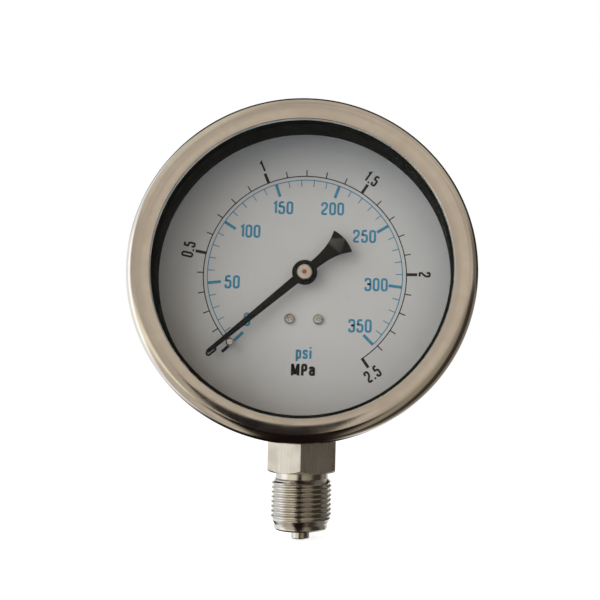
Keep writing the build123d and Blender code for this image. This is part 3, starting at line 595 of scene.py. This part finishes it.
# %% Paint the CAD parts
finishes = {
    case_steel: ["case"],
    window_glass: ["window"],
    black_rubber: ["window_gasket", "stem_seal", "vent_plug"],
    dial_white: ["dial"],
    brass: [
        "dial_posts", "front_plate", "back_plate", "movement_pillars", "sector_gear", "link",
        "hairspring_collet", "hairspring_stud",
    ],
    bronze: ["hairspring"],
    plated_steel: [
        "plate_screws", "movement_screws", "sector_arbor", "sector_pin", "link_screw", "case_screws",
        "screw_washers", "restrictor_screw",
    ],
    tube_steel: ["tube_tip"],
    # the shaft's colour holds painted shade for the deep bore it shows in
    shaft_metal_painted_shade: ["pinion_shaft"],
}
for finish, names in finishes.items():
    for name in names:
        nodes[name].data.materials.clear()
        nodes[name].data.materials.append(finish)
print("painted", sum(len(names) for names in finishes.values()), "CAD parts")

# %% [markdown]
# ## Turned pieces
#
# Bezel, hub, stop pin and screw heads are all bodies of revolution, so one helper makes them: it walks a
# closed outline, given as radius and depth, around the dial's axis. Edges that turn by more than thirty
# degrees stay sharp, and the rest is shaded smooth.

# %% Helpers for turned pieces
def piece(name, mesh, paint, body=None, replaces=()):
    """Makes an object of a mesh: shading, finish, the body it rides on and the CAD parts it stands for."""
    mesh.validate()
    mesh.shade_smooth()
    mesh.set_sharp_from_angle(angle=radians(30))
    mesh.materials.append(paint)
    made = bpy.data.objects.new(name, mesh)
    scene.collection.objects.link(made)
    if body:
        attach(made, body)
    if replaces:
        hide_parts(*replaces)
    return made


def mesh_from(name, build):
    """A mesh filled by a function that works on a bmesh."""
    work = bmesh.new()
    build(work)
    bmesh.ops.remove_doubles(work, verts=work.verts, dist=0.0005 * mm)
    bmesh.ops.recalc_face_normals(work, faces=work.faces)
    mesh = bpy.data.meshes.new(name)
    work.to_mesh(mesh)
    work.free()
    return mesh


def turn_outline(work, outline, steps=96, at=(0.0, 0.0), start=0.0, sweep=2 * pi):
    """Turns a closed outline of (radius, depth) about an axis along Y; at is (x, z) from the dial's axis."""
    full = abs(sweep - 2 * pi) < 1e-6
    columns = []
    for i in range(steps if full else steps + 1):
        angle = start + sweep * i / steps
        c, s = cos(angle), sin(angle)
        columns.append([
            work.verts.new((at[0] + r * c, depth, axis_height + at[1] + r * s)) for r, depth in outline
        ])
    count = len(outline)
    for i in range(steps):
        a, b = columns[i], columns[(i + 1) % len(columns)]
        for j in range(count):
            k = (j + 1) % count
            if outline[j][0] < 1e-9 and outline[k][0] < 1e-9:
                continue
            corners = [a[j], a[k], b[k], b[j]]
            if outline[j][0] < 1e-9:
                corners = [a[j], a[k], b[k]]
            elif outline[k][0] < 1e-9:
                corners = [a[j], a[k], b[j]]
            work.faces.new(corners)
    if not full:
        work.faces.new(columns[0])
        work.faces.new(list(reversed(columns[-1])))


def arc(centre, radius, start, end, steps=10):
    """Points of (radius, depth) on an arc, both ends included; angles in degrees."""
    return [
        (centre[0] + radius * cos(radians(start + (end - start) * i / steps)),
         centre[1] + radius * sin(radians(start + (end - start) * i / steps)))
        for i in range(steps + 1)
    ]


print("turning helpers ready")

# %% [markdown]
# ## Bezel
#
# The real ring is one spun sheet: a straight skirt, a tight shoulder, a wide crown that falls gently towards
# the glass, and a lip turned in steeply, so that it shows as one bright line. The lip is undercut behind its
# edge, where the gasket sits. The outline is turned with many steps, because facets show first in a mirror.
# Three lugs inside the skirt are the bayonet that locks it on the case. Between the lip and the glass lies the
# thin rounded lip of the rubber seal, which shows as a black line all the way round.

# %% Turn the bezel
sheet = 1.0 * mm
shoulder = 3.5 * mm
lip_radius, lip_front, lip_back = 45.7 * mm, -31.25 * mm, -29.9 * mm
front, back = bezel_low.y, bezel_high.y
crest = bezel_radius - shoulder
crown_slope = 12.0
crown_end = lip_radius + 0.34 * mm
crown_radius = (crest - crown_end) / sin(radians(crown_slope))
roll = 0.22 * mm

outline = [(bezel_radius, back), (bezel_radius, front + shoulder)]
outline += arc((crest, front + shoulder), shoulder, 0, -90, 20)[1:]
outline += arc((crest, front + crown_radius), crown_radius, -90, -90 - crown_slope, 24)[1:]
edge_x, edge_y = outline[-1]
outline += arc((edge_x, edge_y + roll), roll, -90 - crown_slope, -158, 6)[1:]
outline += [(lip_radius + 0.05 * mm, lip_front - 0.12 * mm), (lip_radius, lip_front)]
outline += [(lip_radius + 0.1 * mm, lip_front + 0.1 * mm), (lip_radius + 0.9 * mm, lip_back)]
outline += [(lip_radius + 1.6 * mm, lip_back), (lip_radius + 1.7 * mm, edge_y + sheet)]
under_crown = arc((crest, front + crown_radius), crown_radius - sheet, -90, -90 - crown_slope / 2, 12)
under_shoulder = arc((crest, front + shoulder), shoulder - sheet, 0, -90, 20)
outline += under_crown[-2::-1] + under_shoulder[-2::-1]
outline += [(bezel_radius - sheet, back)]
print("crown radius", round(crown_radius / mm, 1), "mm, lip front at", round(edge_y / mm, 2), "mm")

lug_depths = (-23.9 * mm, -22.7 * mm)
lug_inner, lug_outer, lug_sweep = 50.3 * mm, bezel_radius - sheet / 2, radians(20)


def build_bezel(work):
    """The spun ring and its three lugs."""
    turn_outline(work, outline, steps=288)
    lug_front, lug_back = lug_depths
    lug = [(lug_inner, lug_front), (lug_outer, lug_front), (lug_outer, lug_back), (lug_inner, lug_back)]
    for k in range(3):
        turn_outline(work, lug, steps=10, start=radians(90 + 120 * k) - lug_sweep / 2, sweep=lug_sweep)


bezel = piece("bezel", mesh_from("bezel", build_bezel), polished_steel, "bezel", ["bezel_ring"])
print("bezel:", len(bezel.data.polygons), "faces")

# %% Add the seal's lip
seal_bore, seal_width, seal_front = 44.9 * mm, 1.0 * mm, -30.5 * mm
seal_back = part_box("window")[0].y - 0.03 * mm


def build_seal_lip(work):
    """A thin ring with a round inner edge, just clear of the glass."""
    radius = (seal_back - seal_front) / 2
    round_edge = arc((seal_bore + radius, seal_front + radius), radius, -90, -270, 10)
    outer = seal_bore + seal_width
    turn_outline(work, [(outer, seal_front)] + round_edge + [(outer, seal_back)], steps=192)


seal_lip = piece("seal_lip", mesh_from("seal_lip", build_seal_lip), black_rubber, "gauge")
print("seal lip:", len(seal_lip.data.polygons), "faces")

# %% [markdown]
# ## Lettering from pen strokes
#
# The dial's figures are narrow and bold with flat ends. A font would be the usual tool, but the built-in one
# is wide and light, so each figure is drawn as strokes of a flat pen: a few corner points in a unit box,
# with the corners rounded. `ribbon` then gives a stroke its width. The same ribbon draws the ticks and arcs.

# %% Helpers for print
def rounded(points, radius, closed=False, steps=6):
    """The same path with its corners rounded by short curves."""
    count = len(points)
    result = []
    for i, corner in enumerate(points):
        if not closed and i in (0, count - 1):
            result.append(Vector(corner))
            continue
        here, before, after = Vector(corner), Vector(points[i - 1]), Vector(points[(i + 1) % count])
        reach = min(radius, (before - here).length / 2, (after - here).length / 2)
        enter = here + (before - here).normalized() * reach
        leave = here + (after - here).normalized() * reach
        for k in range(steps + 1):
            t = k / steps
            result.append(enter * (1 - t) ** 2 + here * 2 * t * (1 - t) + leave * t ** 2)
    return result


def ribbon(work, path, width, front_y, back_y, closed=False):
    """A flat band of ink of that width along a path of (x, z) from the dial's axis."""
    clean = [path[0]]
    for point in path[1:]:
        if (point - clean[-1]).length > 1e-7:
            clean.append(point)
    if closed and (clean[0] - clean[-1]).length < 1e-7:
        clean.pop()
    count = len(clean)
    rows = []
    for i, point in enumerate(clean):
        before = clean[i - 1] if closed or i else None
        after = clean[(i + 1) % count] if closed or i < count - 1 else None
        into = (point - before).normalized() if before is not None else (after - point).normalized()
        out_of = (after - point).normalized() if after is not None else into
        normal = Vector((-(into + out_of).y, (into + out_of).x)).normalized()
        stretch = min(2.5, 1 / max(0.4, normal.dot(Vector((-into.y, into.x)))))
        side = normal * width / 2 * stretch
        left, right = point + side, point - side
        rows.append([
            work.verts.new((p.x, y, axis_height + p.y))
            for p, y in ((left, front_y), (right, front_y), (right, back_y), (left, back_y))
        ])
    for i in range(count if closed else count - 1):
        a, b = rows[i], rows[(i + 1) % count]
        for j in range(4):
            work.faces.new([a[j], a[(j + 1) % 4], b[(j + 1) % 4], b[j]])
    if not closed:
        work.faces.new(rows[0])
        work.faces.new(list(reversed(rows[-1])))


ROUND, SHARP = 0.5, 0.0
figures = {                        # width, corner radius, strokes: the first mark says if a stroke closes
    "0": (1.0, ROUND, [(True, [(0, 0), (1, 0), (1, 1), (0, 1)])]),
    "1": (0.5, SHARP, [(False, [(0.05, 0.84), (1, 1), (1, 0)])]),
    "2": (1.0, ROUND, [(False, [(0, 0.72), (0, 1), (1, 1), (1, 0.58), (0, 0.20), (0, 0), (1, 0)])]),
    "3": (1.0, ROUND, [(False, [(0, 0.76), (0, 1), (1, 1), (1, 0.53), (0.35, 0.53)]),
                       (False, [(0.35, 0.53), (1, 0.53), (1, 0), (0, 0), (0, 0.26)])]),
    "5": (1.0, ROUND, [(False, [(0.95, 1), (0.06, 1), (0.06, 0.52), (0.06, 0.61), (1, 0.61), (1, 0),
                                (0, 0), (0, 0.27)])]),
    ".": (0.12, SHARP, [(False, [(0.5, -0.07), (0.5, 0.09)])]),
    "M": (1.6, SHARP, [(False, [(0, -0.11), (0, 1.11)]), (False, [(1, -0.11), (1, 1.11)]),
                       (False, [(0.06, 1.02), (0.5, 0.02)]), (False, [(0.94, 1.02), (0.5, 0.02)])]),
    "P": (1.0, ROUND, [(False, [(0, -0.11), (0, 1), (1, 1), (1, 0.45), (0, 0.45)])]),
    "a": (0.95, ROUND, [(False, [(0, 0.56), (0, 0.72), (1, 0.72), (1, -0.08)]),
                        (False, [(1, 0.42), (0, 0.42), (0, 0), (1, 0.02)])]),
    "p": (1.0, ROUND, [(False, [(0, 0.80), (0, -0.34)]), (False, [(0, 0.72), (1, 0.72), (1, 0), (0, 0)])]),
    "s": (0.9, ROUND, [(False, [(1, 0.54), (1, 0.72), (0, 0.72), (0, 0.40), (1, 0.34), (1, 0), (0, 0), (0, 0.18)])]),
    "i": (0.12, SHARP, [(False, [(0.5, -0.08), (0.5, 0.76)]), (False, [(0.5, 0.93), (0.5, 1.09)])]),
}


def letter(work, words, centre, height, across, up, width_share, pen, depths):
    """Writes words around a centre; across and up are the reading and upright directions on the dial."""
    box, gap = height * width_share - pen, pen * 1.55
    widths = [figures[c][0] * box for c in words]
    cursor = -(sum(widths) + gap * (len(words) - 1)) / 2
    for c, width in zip(words, widths):
        _, radius, strokes = figures[c]
        for closed, points in strokes:
            flat = [(x * width, y * (height - pen)) for x, y in points]
            path = rounded(flat, radius * box, closed) if radius else [Vector(p) for p in flat]
            placed = [centre + across * (cursor + p.x) + up * (p.y - (height - pen) / 2) for p in path]
            ribbon(work, placed, pen, *depths, closed)
        cursor += width + gap


def clockwise(angle):
    """The outward direction at a clock angle in degrees, and the direction of turning."""
    a = radians(angle)
    return Vector((sin(a), cos(a))), Vector((cos(a), -sin(a)))


print("figures:", " ".join(figures))

# %% [markdown]
# ## The printed scales
#
# Two scales share one ring of ticks. The outer one is black, in MPa, and runs to 2.5. The inner one is blue,
# in psi, runs to 350 and spans 270 degrees about straight up. Both start at the same place, and one MPa is
# 145 psi, so every angle follows from the value. The ink stands a few hundredths of a millimetre proud.

# %% Print the scales
scale_start, psi_span, psi_full, psi_per_mpa, mpa_full = -134.8, 270.0, 350, 145.04, 2.5
degrees_per_psi = psi_span / psi_full
black_radius, blue_radius = 32.8 * mm, 31.5 * mm
depths = (dial_face - 0.02 * mm, dial_face + 0.02 * mm)
line, tick, major = 0.34 * mm, 0.36 * mm, 0.95 * mm
black_reach, blue_reach = {True: 3.5 * mm, False: 2.1 * mm}, {True: 4.3 * mm, False: 2.2 * mm}
black_figures, blue_figures = (0.46, 0.66 * mm), (0.51, 0.72 * mm)      # width to height, the pen's width
black_unit, blue_unit = (0.52, 0.85 * mm), (0.46, 0.72 * mm)
black_height, blue_height, unit_height, number_radius = 3.95 * mm, 4.4 * mm, 3.9 * mm, 38.7 * mm
zero_angle = -131.0                # the outer zero is printed a little past its mark, clear of the pin
upright = (Vector((1, 0)), Vector((0, 1)))


def tick_mark(work, angle, start, end, width):
    """A straight mark that points away from the dial's middle."""
    outward, _ = clockwise(angle)
    ribbon(work, [outward * start, outward * end], width, *depths)


def scale_arc(work, radius, start, end, width):
    """The thin line that the marks stand on."""
    steps = 180
    angles = [start + (end - start) * i / steps for i in range(steps + 1)]
    ribbon(work, [clockwise(angle)[0] * radius for angle in angles], width, *depths)


def build_black(work):
    """The outer scale: every fifth mark is long and has a number that reads along the ring."""
    end = scale_start + mpa_full * psi_per_mpa * degrees_per_psi
    scale_arc(work, black_radius, scale_start, end, line)
    for k in range(26):
        angle = scale_start + 0.1 * k * psi_per_mpa * degrees_per_psi
        long = k % 5 == 0
        width = major if long else tick
        tick_mark(work, angle, black_radius - line / 2, black_radius + black_reach[long], width)
        if long:
            outward, turning = clockwise(angle if k else zero_angle)
            flip = -1 if k == 25 else 1
            spot, reading, up = outward * number_radius, turning * flip, outward * flip
            letter(work, f"{k / 10:g}", spot, black_height, reading, up, *black_figures, depths)
    letter(work, "MPa", Vector((0.15, -30.75)) * mm, unit_height, *upright, *black_unit, depths)


# where each blue number stands, in millimetres right of and above the dial's middle
blue_places = {0: (-18.2, -15.0), 50: (-23.4, -2.95), 100: (-18.3, 13.9), 150: (-7.85, 22.0), 200: (8.4, 22.0),
               250: (19.0, 13.0), 300: (23.0, -2.9), 350: (18.0, -16.4)}


def build_blue(work):
    """The inner scale, with upright numbers, and its unit."""
    scale_arc(work, blue_radius, scale_start, scale_start + psi_span, line * 0.9)
    for value in range(0, psi_full + 1, 10):
        long = value % 50 == 0
        angle, width = scale_start + value * degrees_per_psi, major if long else tick * 0.8
        tick_mark(work, angle, blue_radius, blue_radius - blue_reach[long], width)
    for value, spot in blue_places.items():
        letter(work, str(value), Vector(spot) * mm, blue_height, *upright, *blue_figures, depths)
    letter(work, "psi", Vector((0.25, -25.4)) * mm, unit_height, *upright, *blue_unit, depths)


black_print = piece("dial_print_black", mesh_from("dial_print_black", build_black), black_ink, "gauge")
blue_print = piece("dial_print_blue", mesh_from("dial_print_blue", build_blue), blue_ink, "gauge")
print("print:", len(black_print.data.polygons) + len(blue_print.data.polygons), "faces")

# %% [markdown]
# ## Pointer
#
# The pointer is punched from thin sheet: a long tapering blade, a disc under the hub and a fan-shaped tail
# that balances it. Its outline is drawn once, filled, given its thickness and bevelled, so that the edge
# catches a thread of light.

# %% Draw the pointer's outline
pointer_low, pointer_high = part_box("pointer")
blade_angle, blade_length = -131.0, 39.6 * mm
root_width, tip_width, disc_radius = 2.7 * mm, 1.2 * mm, 4.0 * mm
tail_reach, tail_corner = 16.8 * mm, Vector((-15.95, 4.55)) * mm
neck_reach, neck_half = 5.0 * mm, 1.45 * mm
hub_bore = 1.9 * mm


def bezier(points, steps=14):
    """Points on a cubic curve, without its first point."""
    shares = [k / steps for k in range(1, steps + 1)]
    weights = [((1 - t) ** 3, 3 * t * (1 - t) ** 2, 3 * t * t * (1 - t), t ** 3) for t in shares]
    return [sum((p * w for p, w in zip(points, row)), Vector((0, 0))) for row in weights]


def circle_points(radius, start, end, steps):
    """Points on a circle about the pointer's axis, angles in radians."""
    turns = [start + (end - start) * k / steps for k in range(steps + 1)]
    return [Vector((radius * cos(a), radius * sin(a))) for a in turns]


def pointer_outline():
    """The pointer seen from the front, its blade along +x: the upper half, then its mirror image."""
    tip = [p + Vector((blade_length - tip_width / 2, 0)) for p in circle_points(tip_width / 2, 0, pi / 2, 8)]
    lean = math.asin(root_width / 2 / disc_radius)
    neck = math.asin(neck_half / disc_radius)
    disc = circle_points(disc_radius, lean, pi - neck, 22)
    start, corner = Vector((-neck_reach, neck_half)), tail_corner
    flank_end, end_start = corner + Vector((0.45, -0.28)) * mm, corner + Vector((-0.14, -0.5)) * mm
    flank_pulls = start + Vector((-4.0, 0.25)) * mm, flank_end + Vector((3.4, -2.1)) * mm
    flank = bezier([start, *flank_pulls, flank_end])
    nose_pulls = corner + Vector((0.1, -0.05)) * mm, corner + Vector((-0.05, -0.12)) * mm
    nose = bezier([flank_end, *nose_pulls, end_start], 6)
    far = Vector((-tail_reach, 0))
    end = bezier([end_start, Vector((far.x + 0.3 * mm, 2.9 * mm)), Vector((far.x, 1.4 * mm)), far], 8)
    upper = tip + disc + [start] + flank + nose + end
    lower = [Vector((p.x, -p.y)) for p in reversed(upper[1:-1])]
    return upper + lower


# %% Cut the pointer
def build_pointer(work):
    """Fills the outline around the hub's hole, thickens it and bevels its edges."""
    outward, turning = clockwise(blade_angle)
    flat = [outward * p.x - turning * p.y for p in pointer_outline()]
    bore = circle_points(hub_bore, 0, 2 * pi, 32)[:-1]
    loops = [[work.verts.new((p.x, pointer_low.y, axis_height + p.y)) for p in loop] for loop in (flat, bore)]
    edges = [work.edges.new((loop[k], loop[(k + 1) % len(loop)])) for loop in loops for k in range(len(loop))]
    filled = bmesh.ops.triangle_fill(work, edges=edges, use_beauty=True)
    faces = [f for f in filled["geom"] if isinstance(f, bmesh.types.BMFace)]
    raised = bmesh.ops.extrude_face_region(work, geom=faces)
    moved = [v for v in raised["geom"] if isinstance(v, bmesh.types.BMVert)]
    bmesh.ops.translate(work, verts=moved, vec=(0, pointer_high.y - pointer_low.y, 0))
    bmesh.ops.recalc_face_normals(work, faces=work.faces)
    sharp = [e for e in work.edges if len(e.link_faces) == 2 and e.calc_face_angle(0) > radians(60)]
    bmesh.ops.bevel(work, geom=sharp, offset=0.07 * mm, segments=2, affect="EDGES", profile=0.5)


blade_mesh = mesh_from("pointer_blade", build_pointer)
pointer = piece("pointer_blade", blade_mesh, pointer_black, "pointer", ["pointer"])
print("pointer:", len(pointer.data.polygons), "faces")

# %% [markdown]
# ## Hub, stop pin and dial screws
#
# The hub is a turned bush pressed on the shaft, with a bevelled rim and the shaft's end showing deep in its
# bore. The stop pin is a polished post with a domed end. The two dial screws have domed heads with a cross
# recess: the dome is turned, and a tapered cross is cut out of it with a Boolean modifier, which is then
# applied.

# %% Turn the hub and the pin
hub_low, hub_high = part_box("pointer_hub")
hub_radius, flange_radius, hub_neck = 2.45 * mm, 3.2 * mm, 1.8 * mm
shaft_bore, rim_bevel, bore_bevel = 0.62 * mm, 0.28 * mm, 0.12 * mm


def build_hub(work):
    """The bush: a bevelled face, a neck through the pointer and a flange behind it."""
    face, under, top = hub_low.y, pointer_low.y, pointer_high.y
    turn_outline(work, [
        (shaft_bore, hub_high.y), (shaft_bore, face + bore_bevel), (shaft_bore + bore_bevel, face),
        (hub_radius - rim_bevel, face), (hub_radius - bore_bevel / 2, face + rim_bevel * 0.6),
        (hub_radius, face + rim_bevel), (hub_radius, under), (hub_neck, under), (hub_neck, top),
        (flange_radius, top), (flange_radius, hub_high.y),
    ], steps=72)


piece("hub", mesh_from("hub", build_hub), hub_nickel, "pointer", ["pointer_hub"])

pin_low, pin_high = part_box("stop_pin")
pin_radius = (pin_high.x - pin_low.x) / 2
pin_at = ((pin_low.x + pin_high.x) / 2, (pin_low.z + pin_high.z) / 2 - axis_height)
pin_dome, pin_step = 0.8 * mm, 0.3 * mm


def build_pin(work):
    """A post with a round edge, and a thinner foot through the dial."""
    foot = pin_radius - pin_step
    post = [(0, pin_high.y), (foot, pin_high.y), (foot, dial_face), (pin_radius, dial_face)]
    post += arc((pin_radius - pin_dome, pin_low.y + pin_dome), pin_dome, 0, -90, 10)
    turn_outline(work, post + [(0, pin_low.y)], steps=48, at=pin_at)


pin_mesh = mesh_from("stop_pin_post", build_pin)
piece("stop_pin_post", pin_mesh, plated_steel, "gauge", ["stop_pin"])
print("hub and pin turned")

# %% Make the dial screws
screws_low, screws_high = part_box("dial_screws")
head_radius, shank_radius = 1.75 * mm, 0.8 * mm
head_rise = 1.02 * mm
screw_height = (screws_low.z + screws_high.z) / 2 - axis_height
screw_reach = screws_high.x - head_radius
cross_width, cross_reach, cross_depth = 0.42 * mm, 1.0 * mm, 0.75 * mm


def build_screws(work):
    """Two shanks with domed heads, one on each side."""
    screw = [(0, screws_high.y), (shank_radius, screws_high.y), (shank_radius, dial_face), (head_radius, dial_face)]
    for a in range(90, -1, -9):
        screw.append((head_radius * sin(radians(a)), screws_low.y + head_rise * (1 - cos(radians(a)))))
    for side in (-1, 1):
        turn_outline(work, screw, steps=48, at=(side * screw_reach, screw_height))


def build_crosses(work):
    """The tapered crosses that are cut out of the heads, each of two bars; no two faces lie in one plane."""
    levels = (screws_low.y - 0.3 * mm, 1.15), (screws_low.y + cross_depth, 0.45)
    for side, turn in ((-1, 28), (1, 62)):
        middle = Vector((side * screw_reach, screw_height))
        for k in range(2):
            outward, across = clockwise(turn + 90 * k)
            corners = []
            for depth, share in levels:
                reach = cross_reach * share
                half = (cross_width * (0.55 + 0.45 * share) + 0.004 * mm * k) / 2
                for u, v in ((-1, -1), (1, -1), (1, 1), (-1, 1)):
                    flat = middle + outward * u * reach + across * v * half
                    corners.append(work.verts.new((flat.x, depth, axis_height + flat.y)))
            work.faces.new(corners[:4])
            work.faces.new(corners[7:3:-1])
            for j in range(4):
                work.faces.new([corners[j], corners[(j + 1) % 4], corners[4 + (j + 1) % 4], corners[4 + j]])


def cut_away(body_mesh, cutter_mesh):
    """The first mesh with the second one cut out of it."""
    holder, cutter = (bpy.data.objects.new("work", m) for m in (body_mesh, cutter_mesh))
    for o in (holder, cutter):
        scene.collection.objects.link(o)
    cut = holder.modifiers.new("cut", "BOOLEAN")
    cut.object, cut.operation, cut.solver, cut.use_self = cutter, "DIFFERENCE", "EXACT", True
    bpy.context.view_layer.update()
    result = bpy.data.meshes.new_from_object(holder.evaluated_get(bpy.context.evaluated_depsgraph_get()))
    for o in (holder, cutter):
        bpy.data.objects.remove(o)
    return result


heads = cut_away(mesh_from("heads", build_screws), mesh_from("crosses", build_crosses))
heads.name = "dial_screw_heads"
screws = piece("dial_screw_heads", heads, plated_steel, "gauge", ["dial_screws"])
print("dial screws:", len(screws.data.polygons), "faces")

# %% [markdown]
# ## Stem with its thread
#
# The stem is one forging: a spigot that centres it, a lead-in, a thread M20 x 1.5, a neck, a hexagon for the
# spanner and a block inside the case. The thread is a true helix. The whole outside is one net of points:
# each row is a step along the outline, each column an angle. In the thread the rows climb by one pitch per
# turn, and a cone at each end cuts them down to the neck, so the thread runs out as it does under a die.
# The hexagon comes from the same net: its radius depends on the angle, and a cone bevels its corners.

# %% Measure the stem
stem_low, stem_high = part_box("socket")
neck, crest_r, pitch, crests, first = 8.75 * mm, 10.0 * mm, 1.5 * mm, 9, 1.975 * mm
root_r = crest_r - 0.52 * pitch
flat = pitch / 5
run_low, run_high = 1.7 * mm, 16.3 * mm
flats = 22.0 * mm
spigot, spigot_bevel, foot_bevel = 3.0 * mm, 0.3 * mm, 0.5 * mm
collar, collar_top = 10.6 * mm, hex_high + 8 * mm
bevel_start = flats / 2 - 0.2 * mm
bore, bore_end = 1.5 * mm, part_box("restrictor_screw")[1].z + 3 * mm
columns = 144
weld = 0.0005 * mm
print("thread:", crests, "crests,", round(2 * crest_r / mm), "x", pitch / mm)

# %% Build the stem
def hexagon_radius(angle):
    """How far the hexagon's side is from the axis in this direction; one corner faces the reader."""
    corner = (angle + pi / 2) % (pi / 3)
    return flats / 2 / cos(corner - pi / 6)


def thread_rows():
    """Rows of the thread as (radius, height at the start of its turn)."""
    rows = []
    for k in range(-3, crests + 3):
        z = first + k * pitch
        rows += [(crest_r, z - flat / 2), (crest_r, z + flat / 2)]
        rows += [(root_r, z + pitch / 2 - flat / 4), (root_r, z + pitch / 2 + flat / 4)]
    return rows


def cut_to(radius, z):
    """A thread point, kept inside the cones at the thread's two ends."""
    z = min(max(z, run_low), run_high)
    low_cone = neck + (z - run_low) * 0.55
    high_cone = neck + (run_high - z) * 1.0
    return max(neck, min(radius, low_cone, high_cone)), z


def stem_rows(i, side, lead, thread):
    """The whole outline of one column, from inside the bore up to the collar."""
    bevel_z = hex_low + (side - bevel_start) * math.tan(radians(30))
    rows = lead + [cut_to(r, z + pitch * i / columns) for r, z in thread]
    rows += [(neck, run_high), (neck, hex_low - 0.3 * mm), (neck + 0.3 * mm, hex_low), (bevel_start, hex_low)]
    rows += [(side, bevel_z), (side, hex_high - 0.15 * mm), (side - 0.15 * mm, hex_high)]
    return rows + [(collar, hex_high), (collar, collar_top), (0, collar_top)]


def spot_key(vertex):
    """The same for two points that lie in one place."""
    return tuple(round(x / weld) for x in vertex.co)


def build_stem(work):
    """The net of points, one column for each angle, and the faces between two columns."""
    lead = [(0, bore_end), (bore, bore_end), (bore, stem_low.z + 0.2 * mm), (bore + 0.2 * mm, stem_low.z),
            (spigot - spigot_bevel, stem_low.z), (spigot, stem_low.z + spigot_bevel),
            (spigot, -0.15 * mm), (spigot + 0.15 * mm, 0),
            (neck - foot_bevel, 0), (neck, foot_bevel), (neck, run_low)]
    thread = thread_rows()
    net = []
    for i in range(columns + 1):
        angle = 2 * pi * i / columns
        c, s = cos(angle), sin(angle)
        rows = stem_rows(i, hexagon_radius(angle), lead, thread)
        net.append([work.verts.new((r * c, r * s, z)) for r, z in rows])
    for a, b in zip(net, net[1:]):
        for j in range(len(a) - 1):
            corners = [a[j], b[j], b[j + 1], a[j + 1]]
            distinct = {spot_key(v): v for v in corners}
            if len(distinct) >= 3:
                work.faces.new([v for v in corners if distinct[spot_key(v)] is v])


def build_block(work):
    """The block inside the case that holds the tube and the movement, and the tongue above it."""
    left, right, reach, top = -15 * mm, 12 * mm, 45 * mm, 50 * mm
    tongue_half, tongue_low = 9 * mm, top - 2 * mm
    below = [left + (right - left) * k / 12 for k in range(13)]
    block = [(x, axis_height - math.sqrt(reach ** 2 - x ** 2)) for x in below] + [(right, top), (left, top)]
    tongue = [(-tongue_half, tongue_low), (tongue_half, tongue_low), (tongue_half, stem_high.z),
              (-tongue_half, stem_high.z)]
    for shape, (front_face, back_face) in ((block, block_depths), (tongue, tongue_depths)):
        near = [work.verts.new((x, front_face, z)) for x, z in shape]
        far = [work.verts.new((x, back_face, z)) for x, z in shape]
        work.faces.new(near)
        work.faces.new(list(reversed(far)))
        for k in range(len(shape)):
            n = (k + 1) % len(shape)
            work.faces.new([near[n], near[k], far[k], far[n]])
    bmesh.ops.recalc_face_normals(work, faces=work.faces)
    sharp = [e for e in work.edges if e.calc_face_angle(0) > radians(40)]
    bmesh.ops.bevel(work, geom=sharp, offset=0.4 * mm, segments=2, affect="EDGES", profile=0.5)


block_depths, tongue_depths = (-6 * mm, 14.5 * mm), (0.0, 6 * mm)
stem_mesh = mesh_from("stem", build_stem)
joined = bmesh.new()
joined.from_mesh(stem_mesh)
joined.from_mesh(mesh_from("block", build_block))
open_edges = sum(1 for e in joined.edges if len(e.link_faces) != 2)
joined.to_mesh(stem_mesh)
joined.free()
stem = piece("stem", stem_mesh, socket_steel, "gauge", ["socket"])
print("stem:", len(stem.data.polygons), "faces,", open_edges, "open edges")

# %% [markdown]
# ## Bourdon tube
#
# The tube is a flat oval, bent nearly all the way round the dial's axis. Its fixed end is brazed into the
# block, and its free end carries the tip. When the pointer turns, the tip moves by a few degrees. Here the
# tube is one fixed piece.

# %% Bend the tube
bend_radius, tube_middle = 38 * mm, 4 * mm
tube_wide, tube_thick = 11 * mm, 3.5 * mm
fixed_end, free_end = 257, -20


def flat_oval(steps=10):
    """The tube's section as (radial, depth) offsets, two half circles joined by flats."""
    half, shoulder_at = tube_thick / 2, (tube_wide - tube_thick) / 2
    near = [(half * cos(pi * k / steps), -shoulder_at - half * sin(pi * k / steps)) for k in range(steps + 1)]
    return near + [(-u, -v) for u, v in near]


def build_tube(work):
    """The section carried along the bend, closed at both ends."""
    section, count = flat_oval(), 160
    rings = []
    for i in range(count + 1):
        angle = radians(fixed_end + (free_end - fixed_end) * i / count)
        c, s = cos(angle), sin(angle)
        spots = [((bend_radius + u) * c, tube_middle + v, axis_height + (bend_radius + u) * s) for u, v in section]
        rings.append([work.verts.new(spot) for spot in spots])
    for a, b in zip(rings, rings[1:]):
        for j in range(len(section)):
            k = (j + 1) % len(section)
            work.faces.new([a[j], b[j], b[k], a[k]])
    work.faces.new(rings[0])
    work.faces.new(list(reversed(rings[-1])))


tube = piece("bent_tube", mesh_from("bent_tube", build_tube), tube_steel)
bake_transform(tube)
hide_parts("bourdon_tube")
print("tube:", len(tube.data.polygons), "faces")

# %% [markdown]
# ## Write the sizes and finish
#
# The pieces must stay inside the CAD model's box. The CAD model's box is written out.

# %% Write the sizes
print("CAD box   ", [[round(x / mm, 2) for x in v] for v in cad_box])
